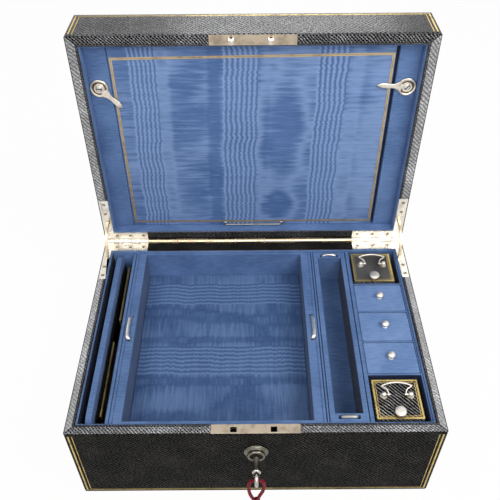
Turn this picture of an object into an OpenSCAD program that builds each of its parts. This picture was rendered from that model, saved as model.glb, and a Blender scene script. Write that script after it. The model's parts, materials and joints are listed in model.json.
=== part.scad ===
// Travelling writing box: a leather-covered hard case with a silk-lined lift-out tray,
// a pen tray, three small lidded cells, two little leather cases, a lock and a hinged lid.
// Origin at the middle of the underside, front at -Y, lid drawn open.

/* [Box] */
// Width of the box over the leather
box_w = 370; // [350:1:400]
// Depth of the box from front to back
box_d = 269; // [255:1:290]
// Height of the base from its underside to its rim
base_h = 116.3; // [108:0.1:130]
// Height of the lid from its rim to its top
lid_h = 51.3; // [46:0.1:60]
// Gap between the two rims when the lid is shut
rim_gap = 0.4; // [0.3:0.1:1]
// How far the lid stands open
lid_angle = 91.4; // [86:0.2:94]
// Radius of the four upright corners
corner_r = 4; // [2:0.5:7]
// Radius of the lid's top edges
lid_top_r = 4.5; // [2:0.5:7]
// Radius of the rims' outer edges
rim_r = 2; // [1:0.5:3]

/* [Walls] */
// Thickness of the leather skin
leather_t = 1.2; // [0.8:0.1:1.6]
// Side wall of the base, leather included
side_wall = 9.8; // [9.4:0.1:11]
// Front wall of the base, leather included
front_wall = 11; // [10.8:0.1:13]
// Rear wall of the base, leather included
rear_wall = 16; // [14:0.5:18]
// Side wall of the lid, leather included
lid_side_wall = 12.2; // [11.6:0.1:14]
// Front wall of the lid, leather included
lid_front_wall = 12; // [11.2:0.1:14]
// Rear wall of the lid, leather included
lid_rear_wall = 14; // [12:0.5:16]
// Bottom board of the base
bottom_t = 8; // [6:0.5:10]
// Top board of the lid
top_t = 8; // [6:0.5:10]
// Silk-covered lining board
lining_t = 2; // [1.5:0.1:2.4]

/* [Hinge] */
// Radius of the hinge barrel
barrel_r = 3.5; // [3:0.1:4]
// Radius of the hinge pin
pin_r = 1.3; // [1:0.1:1.6]
// Thickness of the hinge plates
plate_t = 2; // [1.5:0.1:2.5]
// Length of a corner plate along the rear rim
plate_rear_l = 54; // [48:1:60]
// How far a corner plate's side arm reaches from the hinge axis
plate_side_l = 64; // [58:1:72]
// Width of the long middle hinge leaf, to the axis
leaf_w = 6.3; // [5.5:0.1:8]
// Radius of the stay quadrants, at their middle
quadrant_r = 31; // [28:0.5:34]
// Thickness of a quadrant from side to side
quadrant_t = 2.5; // [2:0.1:2.6]
// Height of a quadrant's strip, along its radius
quadrant_h = 3.5; // [3:0.1:4]

/* [Lock] */
// Length of the lock plate on the front rim
lock_plate_w = 86.8; // [82:0.2:100]
// Height of the lock's axis above the underside
lock_z = 83; // [80:0.5:86]
// Place of the left link along the rim
link_left_x = -21.4; // [-24:0.2:-19]
// Place of the right link along the rim
link_right_x = 17.6; // [15:0.2:20]
// How far the bolt slides
bolt_travel = 7; // [6.6:0.1:7.2]
// Diameter of the key's shank
key_d = 6; // [5:0.2:6.4]
// Diameter of the key's bow
bow_d = 15.2; // [14:0.2:17]
// Diameter of the cord on the key
cord_d = 3.6; // [3:0.1:3.8]

/* [Trays] */
// Width of the paper slot at the left
slot_w = 25.7; // [24:0.1:30]
// Thickness of the partition beside the slot
partition_t = 3.5; // [2.5:0.1:5]
// Thickness of the main tray's side walls
main_side_t = 12; // [10:0.5:14]
// Thickness of the main tray's end walls
main_end_t = 2.5; // [2:0.1:4]
// Inside depth of both trays
tray_depth = 38; // [30:0.5:48]
// Thickness of both trays' floors
tray_floor_t = 2.7; // [2:0.1:4]
// Width of the pen tray
pen_tray_w = 38.2; // [34:0.2:40]
// Thickness of the pen tray's side walls
pen_side_t = 5.1; // [3:0.1:6]
// Thickness of the pen tray's ledged ends
pen_end_t = 10; // [9:0.5:14]
// Clearance round a tray
tray_gap = 0.8; // [0.5:0.1:1.5]
// Thickness of the partition between the two trays
middle_t = 2.2; // [1.8:0.1:3]
// How far the trays and partitions stay below the rim
tray_drop = 3.3; // [3:0.1:5]

/* [Cells] */
// Width of the cells
cell_w = 54.8; // [50:0.2:60]
// Thickness of the wall between the pen tray and the cells
cell_side_t = 4.4; // [3:0.1:6]
// Thickness of the walls between the cells
cell_wall_t = 2.4; // [2:0.1:4]
// Length of the ink case's well, from front to back
ink_well_d = 55.4; // [54.5:0.1:58]
// Length of the lights case's well, from front to back
lights_well_d = 53.3; // [52:0.1:58]
// Thickness of a small cell's lid
cell_lid_t = 4; // [3:0.1:5]
// Width of a leather case
case_w = 47; // [40:0.5:48]
// Length of a leather case from front to back
case_d = 46; // [40:0.5:46.5]
// Height of a leather case
case_h = 53.6; // [48:0.2:60]
// Thickness of a leather case's lid
case_lid_t = 6; // [5:0.1:6.2]
// Wall of a leather case
case_wall = 3; // [2:0.1:3.6]

/* [Lid panel] */
// Depth of the letter panel's face below the lid's rim
panel_v = 12.5; // [12:0.1:16]
// Gap between the letter panel and the board at its right
panel_gap = 3.35; // [0.6:0.05:5]
// Thickness of the letter panel
panel_t = 3; // [2:0.1:5]
// Width of the boards at the panel's sides
cheek_w = 22.6; // [20:0.1:22.8]
// Distance of the turnbuckles' pivots from the front
lever_front = 63.4; // [50:0.2:80]
// Distance of a turnbuckle's pivot from the lid's side lining
lever_side = 10; // [9.5:0.1:12]
// Distance of the letter panel's pull from the hinge axis
pull_back = 21.5; // [15:0.5:40]
// Length of a turnbuckle from its pivot to its tip
lever_l = 31.5; // [28:0.5:33]
// Diameter of a turnbuckle's disc
lever_disc_d = 20; // [17:0.5:21]

/* [Hidden] */
$fn = 48;
e = 0.01;

// Colours
LEATHER = [0.09, 0.09, 0.10];
SILK = [0.24, 0.36, 0.60];
SILK_DARK = [0.18, 0.28, 0.50];
WOOD = [0.45, 0.30, 0.18];
GILT = [0.80, 0.72, 0.56];
SILVER = [0.82, 0.80, 0.76];
CRIMSON = [0.60, 0.02, 0.12];

// Faces and levels of the base
front = -box_d / 2;
back = box_d / 2;
left = -box_w / 2;
right = box_w / 2;
in_left = left + side_wall;
in_right = right - side_wall;
in_front = front + front_wall;
in_back = back - rear_wall;
cav_left = in_left + lining_t;
cav_right = in_right - lining_t;
cav_front = in_front + lining_t;
cav_back = in_back - lining_t;
board_z = bottom_t + 1.2;
cover_lift = 0.2;
floor_z = board_z + lining_t;
lining_drop = 1.5;

// Hinge axis and the shut lid's rim
hinge_y = back;
hinge_z = base_h + rim_gap / 2;
lid_z = base_h + rim_gap;
groove_r = barrel_r + 0.4;
slit = 0.4;
pin_fit = 0.05;
corner_knuckles = 5;
middle_knuckles = 7;
plate_inset = 1.5;
leaf_left = left + plate_rear_l + 0.4;
leaf_right = right - plate_rear_l - 9;
plate_right_l = right - leaf_right - 0.4;

// Trays and partitions
tray_top = base_h - tray_drop;
tray_floor = tray_top - tray_depth;
tray_bottom = tray_floor - tray_floor_t;
slot_right = cav_left + slot_w;
main_left = slot_right + partition_t + tray_gap;
cell_right_t = 1.8;
cell_right = cav_right - cell_right_t;
cell_left = cell_right - cell_w;
cell_side_x = cell_left - cell_side_t;
pen_right = cell_side_x - tray_gap;
pen_left = pen_right - pen_tray_w;
middle_x = pen_left - tray_gap - middle_t;
main_right = middle_x - tray_gap;
tray_front = cav_front + tray_gap;
tray_back = cav_back - tray_gap;
rest_t = 5;

// Cells
small_cell_d = (cav_back - cav_front - ink_well_d - lights_well_d - 4 * cell_wall_t) / 3;
case_top = base_h - 0.4;
cell_floor = case_top - case_h;
cell_floor_t = 3;
cell_mid = (cell_left + cell_right) / 2;
function cell_y(i) = cav_front + ink_well_d + cell_wall_t + i * (small_cell_d + cell_wall_t);
lights_well_y = cell_y(3);
cell_fit = 0.4;
ledge_w = 2;
ledge_h = 3;

// Leather cases
case_gap = 0.3;
case_cx = cell_left + 1.6 + case_w / 2;
ink_cy = cav_front + 2 + case_d / 2;
lights_cy = lights_well_y + 0.5 + case_d / 2;
case_hinge_z = case_top - case_lid_t - case_gap / 2;
case_barrel_r = 1.2;
button_from_front = 6.4;
stud_from_front = case_d * 0.57;
stud_half = 13.4;
bail_angle = 20;
bail_axis_h = 3.2;

// Lock
nozzle_x = 0.4;
lock_front = front + 1.7;
lock_back = in_front - 0.2;
lock_skin = 0.6;
lock_half = 40;
lock_drop = 15;
lock_bottom = lock_z - lock_drop;
lock_top = base_h - plate_t;
link_y = front + 5.1;
link_w = 5;
link_d = 4.8;
link_h = 9;
link_slot_w = link_w + 1.2;
link_slot_d = link_d + 0.8;
peg_z = lid_z - 5.8;
plug_r = 6.3;
plug_end = front + 5.5;
crank_r = bolt_travel / sqrt(2);
crank_pin_r = 1.2;
bolt_y = link_y + link_d / 2 + 0.7;
bolt_t = 1.6;
bow_reach = 29.3;
bow_y = front - bow_reach;
collar_reach = 21.5;
bow_section_r = 2;

// Lid inside
lid_in_front = front + lid_front_wall;
lid_in_back = back - lid_rear_wall;
lid_in_side = box_w / 2 - lid_side_wall;
lid_lining_t = 1.5;
cheek_t = 3;
cheek_v = panel_v - 1;
panel_fit = 0.55;
panel_left = -lid_in_side + lid_lining_t + cheek_w + panel_fit;
panel_right = lid_in_side - lid_lining_t - cheek_w - panel_gap;
panel_front = lid_in_front + lid_lining_t + 0.3;
panel_back = lid_in_back - lid_lining_t - 0.3;
lever_t = 1.8;
lever_v = cheek_v - 0.3;
lever_x = lid_in_side - lid_lining_t - lever_side;
lever_skew = 0.4;
lever_left = [-lever_x, front + lever_front - lever_skew / 2];
lever_right = [lever_x, front + lever_front + lever_skew / 2];
pull_y = back - pull_back;
pull_half = 34.5;
pull_drop = 4;
pull_v = panel_v - 2;

// Route of the key's cord, in millimetres: up the left strand from the knot,
// through the bow, down the right strand into the knot and on down the tail
CORD_POINTS = [
    [-1.6, -163.8, 38], [-3.4, -164, 44], [-5.4, -164.2, 51], [-6.7, -164.2, 58],
    [-7.2, -164, 65], [-7.1, -163.8, 71], [-6.6, -163.8, 76], [-4.6, -163.8, 79.9],
    [-1.6, -163.8, 81.7], [0.4, -163.8, 81.9], [2.4, -163.8, 81.7], [5.4, -163.8, 79.9],
    [7.4, -163.8, 76], [7.9, -163.8, 71], [7.6, -163.8, 65], [6.4, -163.8, 58],
    [4.2, -163.8, 51], [2.2, -163.8, 44], [1.4, -163.8, 38], [1.0, -163.8, 31],
    [0.8, -164, 24], [0.8, -164.2, 17], [0.8, -164.2, 11]
];

// Flat rectangle with arcs at its corners, centred
module rrect(w, d, r) {
    square([w - 2 * r, d], center = true);
    square([w, d - 2 * r], center = true);
    for (sx = [-1, 1], sy = [-1, 1])
        translate([sx * (w / 2 - r), sy * (d / 2 - r)]) circle(r);
}

// What an arc leaves of a square corner at the origin
module corner_waste(r) {
    difference() {
        translate([-e, -e]) square([r + e, r + e]);
        translate([r, r]) circle(r);
    }
}

// Upright outline standing on the X axis, with one radius below and one above
module upright(w, h, r_low, r_high) {
    difference() {
        translate([-w / 2, 0]) square([w, h]);
        for (s = [0, 1]) mirror([s, 0]) {
            translate([-w / 2, 0]) corner_waste(r_low);
            translate([-w / 2, h]) mirror([0, 1]) corner_waste(r_high);
        }
    }
}

// Block with rounded uprights and rounded lower and upper edges
module soft_block(w, d, h, r_side, r_low, r_high) {
    intersection() {
        linear_extrude(h) rrect(w, d, r_side);
        translate([0, d / 2 + 1, 0]) rotate([90, 0, 0])
            linear_extrude(d + 2) upright(w, h, r_low, r_high);
        translate([-w / 2 - 1, 0, 0]) rotate([90, 0, 90])
            linear_extrude(w + 2) upright(d, h, r_low, r_high);
    }
}

// Plain block between two opposite corners
module span(a, b) {
    translate(a) cube([b[0] - a[0], b[1] - a[1], b[2] - a[2]]);
}

// Cylinder along X, from x0 to x1
module rod_x(x0, x1, y, z, r) {
    translate([x0, y, z]) rotate([0, 90, 0]) cylinder(r = r, h = x1 - x0);
}

// Cylinder along Y, from y0 to y1
module rod_y(x, y0, y1, z, r) {
    translate([x, y0, z]) rotate([-90, 0, 0]) cylinder(r = r, h = y1 - y0);
}

// Flat bar of thickness t from p to q, with slightly swollen round ends
module stroke(p, q, w, t) {
    dx = q[0] - p[0];
    dy = q[1] - p[1];
    translate([p[0], p[1], 0]) rotate([0, 0, atan2(dy, dx)]) translate([0, -w / 2, 0])
        cube([norm([dx, dy]), w, t]);
    for (c = [p, q]) translate([c[0], c[1], 0]) cylinder(r = w / 2 + 0.08, h = t);
}

// Turns what is drawn shut into its open place
module open_lid() {
    translate([0, hinge_y, hinge_z]) rotate([-lid_angle, 0, 0])
        translate([0, -hinge_y, -hinge_z]) children();
}

// Arc strip about the hinge axis on the left side, from angle a0 to a1,
// measured up from the direction of the front
module hinge_arc(a0, a1, grow) {
    side = left + side_wall - 0.5 - quadrant_t / 2;
    translate([side, hinge_y, hinge_z]) rotate([0, 90, 0]) rotate([0, 0, -90 - a1])
        rotate_extrude(angle = a1 - a0, $fn = 96)
            translate([quadrant_r - quadrant_h / 2 - grow, -quadrant_t / 2 - grow])
                square([quadrant_h + 2 * grow, quadrant_t + 2 * grow]);
}
arc_tuck = 12;
arc_room = arc_tuck + lid_angle / 2 + 2;

// L-shaped outline of a left corner plate: rear_l is its length along the rear rim,
// wall and rear the walls it lies on, short how far it stops before the hinge axis
module plate_outline(rear_l, wall, rear, short) {
    translate([left + plate_inset, hinge_y - rear]) square([rear_l - plate_inset, rear - short]);
    translate([left + plate_inset, hinge_y - plate_side_l])
        square([wall - plate_inset, plate_side_l - rear + e]);
}

// Barrel knuckles and the webs that join them to a plate whose face is at z0 to z1
module knuckles(x0, x1, count, first, z0, z1) {
    step = (x1 - x0) / count;
    for (i = [first : 2 : count - 1]) {
        a = x0 + i * step + slit / 2;
        b = x0 + (i + 1) * step - slit / 2;
        rod_x(a, b, hinge_y, hinge_z, barrel_r);
        span([a, hinge_y - groove_r - e, z0], [b, hinge_y - 1, z1]);
    }
}
module pin_bore() {
    rod_x(left - 1, right + 1, hinge_y, hinge_z, pin_r + pin_fit);
}

// Places of the screws in a left corner plate
near_screw = 6;
far_screw = 20;
function plate_screws(rear_l, wall, rear) = [
    [left + 0.30 * rear_l, back - rear / 2 - 2], [left + 0.60 * rear_l, back - rear / 2 - 2],
    [left + 0.90 * rear_l, back - rear / 2 - 2],
    [left + plate_inset + (wall - plate_inset) / 2, hinge_y - plate_side_l + near_screw],
    [left + plate_inset + (wall - plate_inset) / 2, hinge_y - plate_side_l + far_screw]
];
screw_head_r = 2;
screw_head_t = 0.9;
screw_r = 1.1;
screw_l = 8;
module screw_bores(places, z, up) {
    for (p = places) translate([p[0], p[1], z]) mirror([0, 0, up ? 1 : 0]) {
        translate([0, 0, -screw_head_t]) cylinder(r = screw_head_r + pin_fit, h = screw_head_t + 1);
        translate([0, 0, -screw_l - 0.1]) cylinder(r = screw_r + pin_fit, h = screw_l);
    }
}
module screws(places, z, up) {
    for (p = places) translate([p[0], p[1], z]) mirror([0, 0, up ? 1 : 0]) {
        translate([0, 0, -screw_head_t]) cylinder(r = screw_head_r, h = screw_head_t);
        translate([0, 0, -screw_l]) cylinder(r = screw_r, h = screw_l);
    }
}
base_left_places = plate_screws(plate_rear_l, side_wall, rear_wall);
base_right_places = plate_screws(plate_right_l, side_wall, rear_wall);
lid_left_places = plate_screws(plate_rear_l, lid_side_wall, lid_rear_wall);
lid_right_places = plate_screws(plate_right_l, lid_side_wall, lid_rear_wall);

// Base: wooden carcase, leather skin and silk lining

// What the hinge takes out of the base
module base_hinge_waste() {
    translate([0, 0, base_h - plate_t]) linear_extrude(plate_t + 1) {
        plate_outline(plate_rear_l, side_wall, rear_wall, 0);
        mirror([1, 0]) plate_outline(plate_right_l, side_wall, rear_wall, 0);
        translate([leaf_left, hinge_y - leaf_w]) square([leaf_right - leaf_left, leaf_w]);
    }
    rod_x(left - 1, right + 1, hinge_y, hinge_z, groove_r);
    for (s = [0, 1]) mirror([s, 0, 0]) hinge_arc(-arc_room, 1, slit);
    screw_bores(base_left_places, base_h, false);
    mirror([1, 0, 0]) screw_bores(base_right_places, base_h, false);
}

// What the lock takes out of the base's front
module base_lock_waste() {
    span([-lock_half - 0.2, lock_front - 0.1, lock_bottom - 0.2], [lock_half + 0.2, in_front + e, base_h + 1]);
    span([-lock_plate_w / 2, front + 0.8, base_h - plate_t], [lock_plate_w / 2, in_front - 0.4, base_h + 1]);
    rod_y(nozzle_x, front - 1, in_front, lock_z, 7.75);
}

module base_core() {
    soft_block(box_w - 2 * leather_t, box_d - 2 * leather_t, base_h - leather_t,
        corner_r - leather_t, 0.8, rim_r - leather_t);
}

module base_carcase() {
    color(WOOD) difference() {
        base_core();
        span([in_left, in_front, board_z], [in_right, in_back, base_h]);
        base_hinge_waste();
        base_lock_waste();
    }
}

module base_cover() {
    color(LEATHER) difference() {
        soft_block(box_w, box_d, base_h, corner_r, 0.8, rim_r);
        base_core();
        span([left - 1, front - 1, -1], [right + 1, back + 1, cover_lift]);
        span([in_left, in_front, board_z], [in_right, in_back, base_h + 1]);
        base_hinge_waste();
        base_lock_waste();
    }
}

module base_lining() {
    color(SILK) difference() {
        span([in_left, in_front, board_z], [in_right, in_back, base_h - lining_drop]);
        span([cav_left, cav_front, floor_z], [cav_right, cav_back, base_h]);
    }
}

// Partitions beside the slot and between the trays
module partitions() {
    color(SILK) {
        span([slot_right, cav_front, floor_z], [slot_right + partition_t, cav_back, tray_top]);
        span([middle_x, cav_front, floor_z], [middle_x + middle_t, cav_back, tray_top]);
    }
}

// The divider stands in the slot; its two top corners are rounded off
divider_t = 6;
divider_gap = 6.2;
module slot_divider() {
    h = tray_top + 0.3 - floor_z;
    color(SILK) translate([cav_left + divider_gap, (cav_front + cav_back) / 2, floor_z])
        rotate([90, 0, 90]) linear_extrude(divider_t)
            upright(cav_back - cav_front, h, e, 12);
}

// Right-hand block: five open cells with a raised floor, ledges under the small lids
module cell_block() {
    color(SILK) {
        difference() {
            span([cell_side_x, cav_front, floor_z], [cav_right, cav_back, tray_top]);
            span([cell_left, cav_front - 1, floor_z - 1], [cell_right, cav_back + 1, cell_floor - cell_floor_t]);
            span([cell_left, cav_front - e, cell_floor], [cell_right, cav_front + ink_well_d, base_h]);
            span([cell_left, lights_well_y, cell_floor], [cell_right, cav_back + e, base_h]);
            for (i = [0 : 2]) {
                span([cell_left + ledge_w, cell_y(i), cell_floor],
                    [cell_right - ledge_w, cell_y(i) + small_cell_d, base_h]);
                span([cell_left, cell_y(i), cell_floor],
                    [cell_right, cell_y(i) + small_cell_d, tray_top - cell_lid_t - ledge_h]);
                span([cell_left, cell_y(i), tray_top - cell_lid_t],
                    [cell_right, cell_y(i) + small_cell_d, base_h]);
            }
        }
    }
}

// Boards on the front and rear walls that carry the two trays
module tray_rests() {
    color(SILK_DARK) for (x = [[slot_right + partition_t, middle_x], [middle_x + middle_t, cell_side_x]]) {
        span([x[0], cav_front, floor_z], [x[1], cav_front + rest_t, tray_bottom]);
        span([x[0], cav_back - rest_t, floor_z], [x[1], cav_back, tray_bottom]);
    }
}

// Hinge: middle leaves, corner plates, pins and screws
module hinge_base_leaf() {
    color(GILT) difference() {
        union() {
            span([leaf_left, hinge_y - leaf_w, base_h - plate_t], [leaf_right, hinge_y - groove_r, base_h]);
            knuckles(leaf_left, leaf_right, middle_knuckles, 0, base_h - plate_t, base_h);
        }
        pin_bore();
    }
}

module hinge_lid_leaf() {
    color(GILT) open_lid() difference() {
        union() {
            span([leaf_left, hinge_y - leaf_w, lid_z], [leaf_right, hinge_y - groove_r, lid_z + plate_t]);
            knuckles(leaf_left, leaf_right, middle_knuckles, 1, lid_z, lid_z + plate_t);
        }
        pin_bore();
    }
}

module base_plate(rear_l, places) {
    difference() {
        union() {
            translate([0, 0, base_h - plate_t]) linear_extrude(plate_t)
                plate_outline(rear_l, side_wall, rear_wall, groove_r);
            knuckles(left + plate_inset, left + rear_l, corner_knuckles, 0, base_h - plate_t, base_h);
        }
        pin_bore();
        hinge_arc(-arc_room, 6, slit);
        screw_bores(places, base_h, false);
    }
}

module lid_plate(rear_l, places) {
    difference() {
        union() {
            translate([0, 0, lid_z]) linear_extrude(plate_t)
                plate_outline(rear_l, lid_side_wall, lid_rear_wall, groove_r);
            knuckles(left + plate_inset, left + rear_l, corner_knuckles, 1, lid_z, lid_z + plate_t);
        }
        pin_bore();
        hinge_arc(-6, arc_room, slit);
        screw_bores(places, lid_z, true);
    }
}

module base_plate_left() { color(GILT) base_plate(plate_rear_l, base_left_places); }
module base_plate_right() { color(GILT) mirror([1, 0, 0]) base_plate(plate_right_l, base_right_places); }
module lid_plate_left() { color(GILT) open_lid() lid_plate(plate_rear_l, lid_left_places); }
module lid_plate_right() {
    color(GILT) open_lid() mirror([1, 0, 0]) lid_plate(plate_right_l, lid_right_places);
}

module hinge_pins() {
    color(SILVER) {
        rod_x(left + plate_inset, left + plate_rear_l, hinge_y, hinge_z, pin_r);
        rod_x(leaf_left, leaf_right, hinge_y, hinge_z, pin_r);
        rod_x(right - plate_right_l, right - plate_inset, hinge_y, hinge_z, pin_r);
    }
}

module base_screws() {
    color(GILT) {
        screws(base_left_places, base_h, false);
        mirror([1, 0, 0]) screws(base_right_places, base_h, false);
    }
}

module lid_screws() {
    color(GILT) open_lid() {
        screws(lid_left_places, lid_z, true);
        mirror([1, 0, 0]) screws(lid_right_places, lid_z, true);
    }
}

// Stay quadrants, drawn with the lid open
module quadrant_left() { color(GILT) hinge_arc(-arc_tuck, lid_angle + arc_tuck, 0); }
module quadrant_right() { color(GILT) mirror([1, 0, 0]) hinge_arc(-arc_tuck, lid_angle + arc_tuck, 0); }

// Lock
module lock_case() {
    color(GILT) difference() {
        span([-lock_half, lock_front, lock_bottom], [lock_half, lock_back, lock_top]);
        span([-lock_half + 1, lock_front + lock_skin, lock_bottom + 1],
            [lock_half - 1, lock_back - lock_skin, lock_top + 1]);
        rod_y(nozzle_x, lock_front - 1, lock_front + 2, lock_z, 7.75);
    }
}

module lock_plate() {
    color(GILT) difference() {
        span([-lock_plate_w / 2, front + 0.8, base_h - plate_t], [lock_plate_w / 2, in_front - 0.4, base_h]);
        for (x = [link_left_x, link_right_x])
            translate([x - link_slot_w / 2, link_y - link_slot_d / 2, base_h - plate_t - 1])
                cube([link_slot_w, link_slot_d, plate_t + 2]);
    }
}

// Flanged nozzle with a raised ring, bored for the plug
module lock_nozzle() {
    color(GILT) translate([nozzle_x, front, lock_z]) rotate([90, 0, 0]) rotate_extrude()
        polygon([[plug_r + 0.2, -2.3], [7.7, -2.3], [7.7, 0], [12.2, 0], [12.2, 1], [11.2, 2], [9, 2.4],
            [9, 5.6], [8.1, 6.5], [plug_r + 0.9, 6.5], [plug_r + 0.2, 5.8]]);
}

// Plug with the key's bore and keyway, and the crank pin that drives the bolt
module lock_plug() {
    color(SILVER) {
        difference() {
            rod_y(nozzle_x, front - 5, plug_end, lock_z, plug_r);
            rod_y(nozzle_x, front - 6, front + 2.5, lock_z, key_d / 2 + 0.1);
            span([nozzle_x - 1, front - 6, lock_z], [nozzle_x + 1, front + 2.5, lock_z + 5.5]);
        }
        rod_y(nozzle_x - bolt_travel / 2, plug_end - 0.5, bolt_y + bolt_t, lock_z + bolt_travel / 2, crank_pin_r);
    }
}

// Bolt: a plate with two lugs whose pegs pass through the links, and a slotted tail
peg_r = 1.1;
lug_t = 2;
peg_l = 6.2;
module lock_bolt() {
    peg_rest = link_w / 2 + 0.8;
    lug_x = peg_rest + peg_l + lug_t;
    tail_x = nozzle_x - bolt_travel / 2;
    color(SILVER) {
        difference() {
            union() {
                span([link_left_x - lug_x, bolt_y, peg_z - 8], [link_right_x - peg_rest - 1, bolt_y + bolt_t, peg_z + 2]);
                span([tail_x - 4, bolt_y, lock_z - 1], [tail_x + 4, bolt_y + bolt_t, peg_z - 7]);
            }
            span([tail_x - crank_pin_r - 0.4, bolt_y - 1, lock_z + 1.6],
                [tail_x + crank_pin_r + 0.4, bolt_y + bolt_t + 1, lock_z + crank_r + crank_pin_r + 0.6]);
        }
        for (x = [link_left_x, link_right_x]) {
            span([x - lug_x, link_y - 1.6, peg_z - 1.6], [x - lug_x + lug_t, bolt_y + e, peg_z + 1.6]);
            rod_x(x - lug_x + lug_t - e, x - peg_rest, link_y, peg_z, peg_r);
        }
    }
}

// Pipe key with a ring bow and a small bit
module key() {
    shank_end = front + 2;
    collar_y = front - collar_reach;
    color(SILVER) {
        difference() {
            union() {
                rod_y(nozzle_x, bow_y + bow_d / 2 - 2.5, shank_end, lock_z, key_d / 2);
                rod_y(nozzle_x, collar_y, collar_y + 2.4, lock_z, key_d / 2 + 1.4);
                span([nozzle_x - 0.8, shank_end - 3.5, lock_z], [nozzle_x + 0.8, shank_end, lock_z + 5.1]);
            }
            rod_y(nozzle_x, shank_end - 9, shank_end + 1, lock_z, key_d / 4);
        }
        translate([nozzle_x, bow_y, lock_z]) rotate([0, 90, 0]) rotate_extrude()
            translate([bow_d / 2 - bow_section_r, 0]) circle(bow_section_r);
    }
}

// Cord: a tube swept along the route, with the knot that closes the noose
cord_sides = 8;
function unit(v) = v / norm(v);
function tangent(i) = unit(CORD_POINTS[min(i + 1, len(CORD_POINTS) - 1)] - CORD_POINTS[max(i - 1, 0)]);
function cord_ring(i) =
    let (t = tangent(i), n = [0, 1, 0], s = unit(cross(t, n)), u = cross(s, t))
    [for (k = [0 : cord_sides - 1])
        let (a = 360 * k / cord_sides)
        CORD_POINTS[i] + cord_d / 2 * (cos(a) * s + sin(a) * u)];
module cord_tube() {
    rings = len(CORD_POINTS);
    points = [for (i = [0 : rings - 1]) each cord_ring(i)];
    sides = [for (i = [0 : rings - 2], k = [0 : cord_sides - 1])
        let (a = i * cord_sides + k, b = i * cord_sides + (k + 1) % cord_sides)
        each [[a, b, a + cord_sides], [b, b + cord_sides, a + cord_sides]]];
    first_cap = [for (k = [1 : cord_sides - 2]) [0, k + 1, k]];
    last = (rings - 1) * cord_sides;
    last_cap = [for (k = [1 : cord_sides - 2]) [last, last + k, last + k + 1]];
    polyhedron(points, concat(sides, first_cap, last_cap));
}
module key_cord() {
    color(CRIMSON) {
        cord_tube();
        translate([0, CORD_POINTS[0][1], CORD_POINTS[0][2] - 1.5]) sphere(r = cord_d * 1.15);
    }
}

// Lid: wooden carcase, leather skin, silk lining and the panel in it, drawn shut
module lid_waste() {
    translate([0, 0, lid_z - 1]) linear_extrude(plate_t + 1) {
        plate_outline(plate_rear_l, lid_side_wall, lid_rear_wall, 0);
        mirror([1, 0]) plate_outline(plate_right_l, lid_side_wall, lid_rear_wall, 0);
        translate([leaf_left, hinge_y - leaf_w]) square([leaf_right - leaf_left, leaf_w]);
    }
    rod_x(left - 1, right + 1, hinge_y, hinge_z, groove_r);
    for (s = [0, 1]) mirror([s, 0, 0]) hinge_arc(-1, arc_room, slit);
    screw_bores(lid_left_places, lid_z, true);
    mirror([1, 0, 0]) screw_bores(lid_right_places, lid_z, true);
    span([-lock_plate_w / 2, front + 0.8, lid_z - 1], [lock_plate_w / 2, lid_in_front - 0.4, lid_z + plate_t]);
}

module lid_carcase() {
    color(WOOD) open_lid() difference() {
        translate([0, 0, lid_z + leather_t]) soft_block(box_w - 2 * leather_t, box_d - 2 * leather_t,
            lid_h - 2 * leather_t, corner_r - leather_t, rim_r - leather_t, lid_top_r - leather_t);
        span([-lid_in_side, lid_in_front, lid_z], [lid_in_side, lid_in_back, lid_z + lid_h - top_t]);
        lid_waste();
    }
}

module lid_cover() {
    color(LEATHER) open_lid() difference() {
        translate([0, 0, lid_z]) soft_block(box_w, box_d, lid_h, corner_r, rim_r, lid_top_r);
        translate([0, 0, lid_z + leather_t]) soft_block(box_w - 2 * leather_t, box_d - 2 * leather_t,
            lid_h - 2 * leather_t, corner_r - leather_t, rim_r - leather_t, lid_top_r - leather_t);
        span([-lid_in_side, lid_in_front, lid_z - 1], [lid_in_side, lid_in_back, lid_z + lid_h - top_t]);
        lid_waste();
    }
}

module lid_lining() {
    top = lid_z + lid_h - top_t;
    color(SILK) open_lid() difference() {
        span([-lid_in_side, lid_in_front, lid_z + lining_drop], [lid_in_side, lid_in_back, top]);
        span([-lid_in_side + lid_lining_t, lid_in_front + lid_lining_t, lid_z],
            [lid_in_side - lid_lining_t, lid_in_back - lid_lining_t, top - lid_lining_t]);
    }
}

// Boards beside the panel, each on an upright wall with a ledge that the panel lies on
module cheek(s) {
    inner = lid_in_side - lid_lining_t;
    edge = inner - cheek_w;
    y0 = lid_in_front + lid_lining_t;
    y1 = lid_in_back - lid_lining_t;
    top = lid_z + lid_h - top_t - lid_lining_t;
    mirror([s, 0, 0]) {
        span([edge, y0, lid_z + cheek_v], [inner, y1, lid_z + cheek_v + cheek_t]);
        span([edge, y0, lid_z + cheek_v], [edge + 2, y1, top]);
        span([edge - 8, y0, lid_z + panel_v + panel_t], [edge + e, y1, lid_z + panel_v + panel_t + 3]);
    }
}
module panel_cheeks() {
    color(SILK) open_lid() {
        cheek(0);
        cheek(1);
    }
}

module letter_panel() {
    color(SILK_DARK) open_lid()
        span([panel_left, panel_front, lid_z + panel_v], [panel_right, panel_back, lid_z + panel_v + panel_t]);
}

// Plate on the lid's front rim with its two links
module link_plate() {
    color(GILT) open_lid() {
        span([-lock_plate_w / 2, front + 0.8, lid_z], [lock_plate_w / 2, lid_in_front - 0.4, lid_z + plate_t]);
        for (x = [link_left_x, link_right_x]) difference() {
            translate([x, link_y, lid_z - link_h + 1]) {
                translate([0, 0, link_h / 2 - 0.5]) cube([link_w, link_d, link_h - 1 + 2 * e], center = true);
                rod_y(0, -link_d / 2, link_d / 2, link_w / 2 - 1, link_w / 2);
            }
            rod_x(x - link_w, x + link_w, link_y, peg_z, peg_r + 0.5);
            span([x - 1.2, link_y - link_d, peg_z + 2.4], [x + 1.2, link_y + link_d, lid_z - 0.8]);
        }
    }
}

// Turnbuckle: a disc with a raised spiral rim running out into a leaf-shaped tail
post_r = 1.6;
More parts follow.
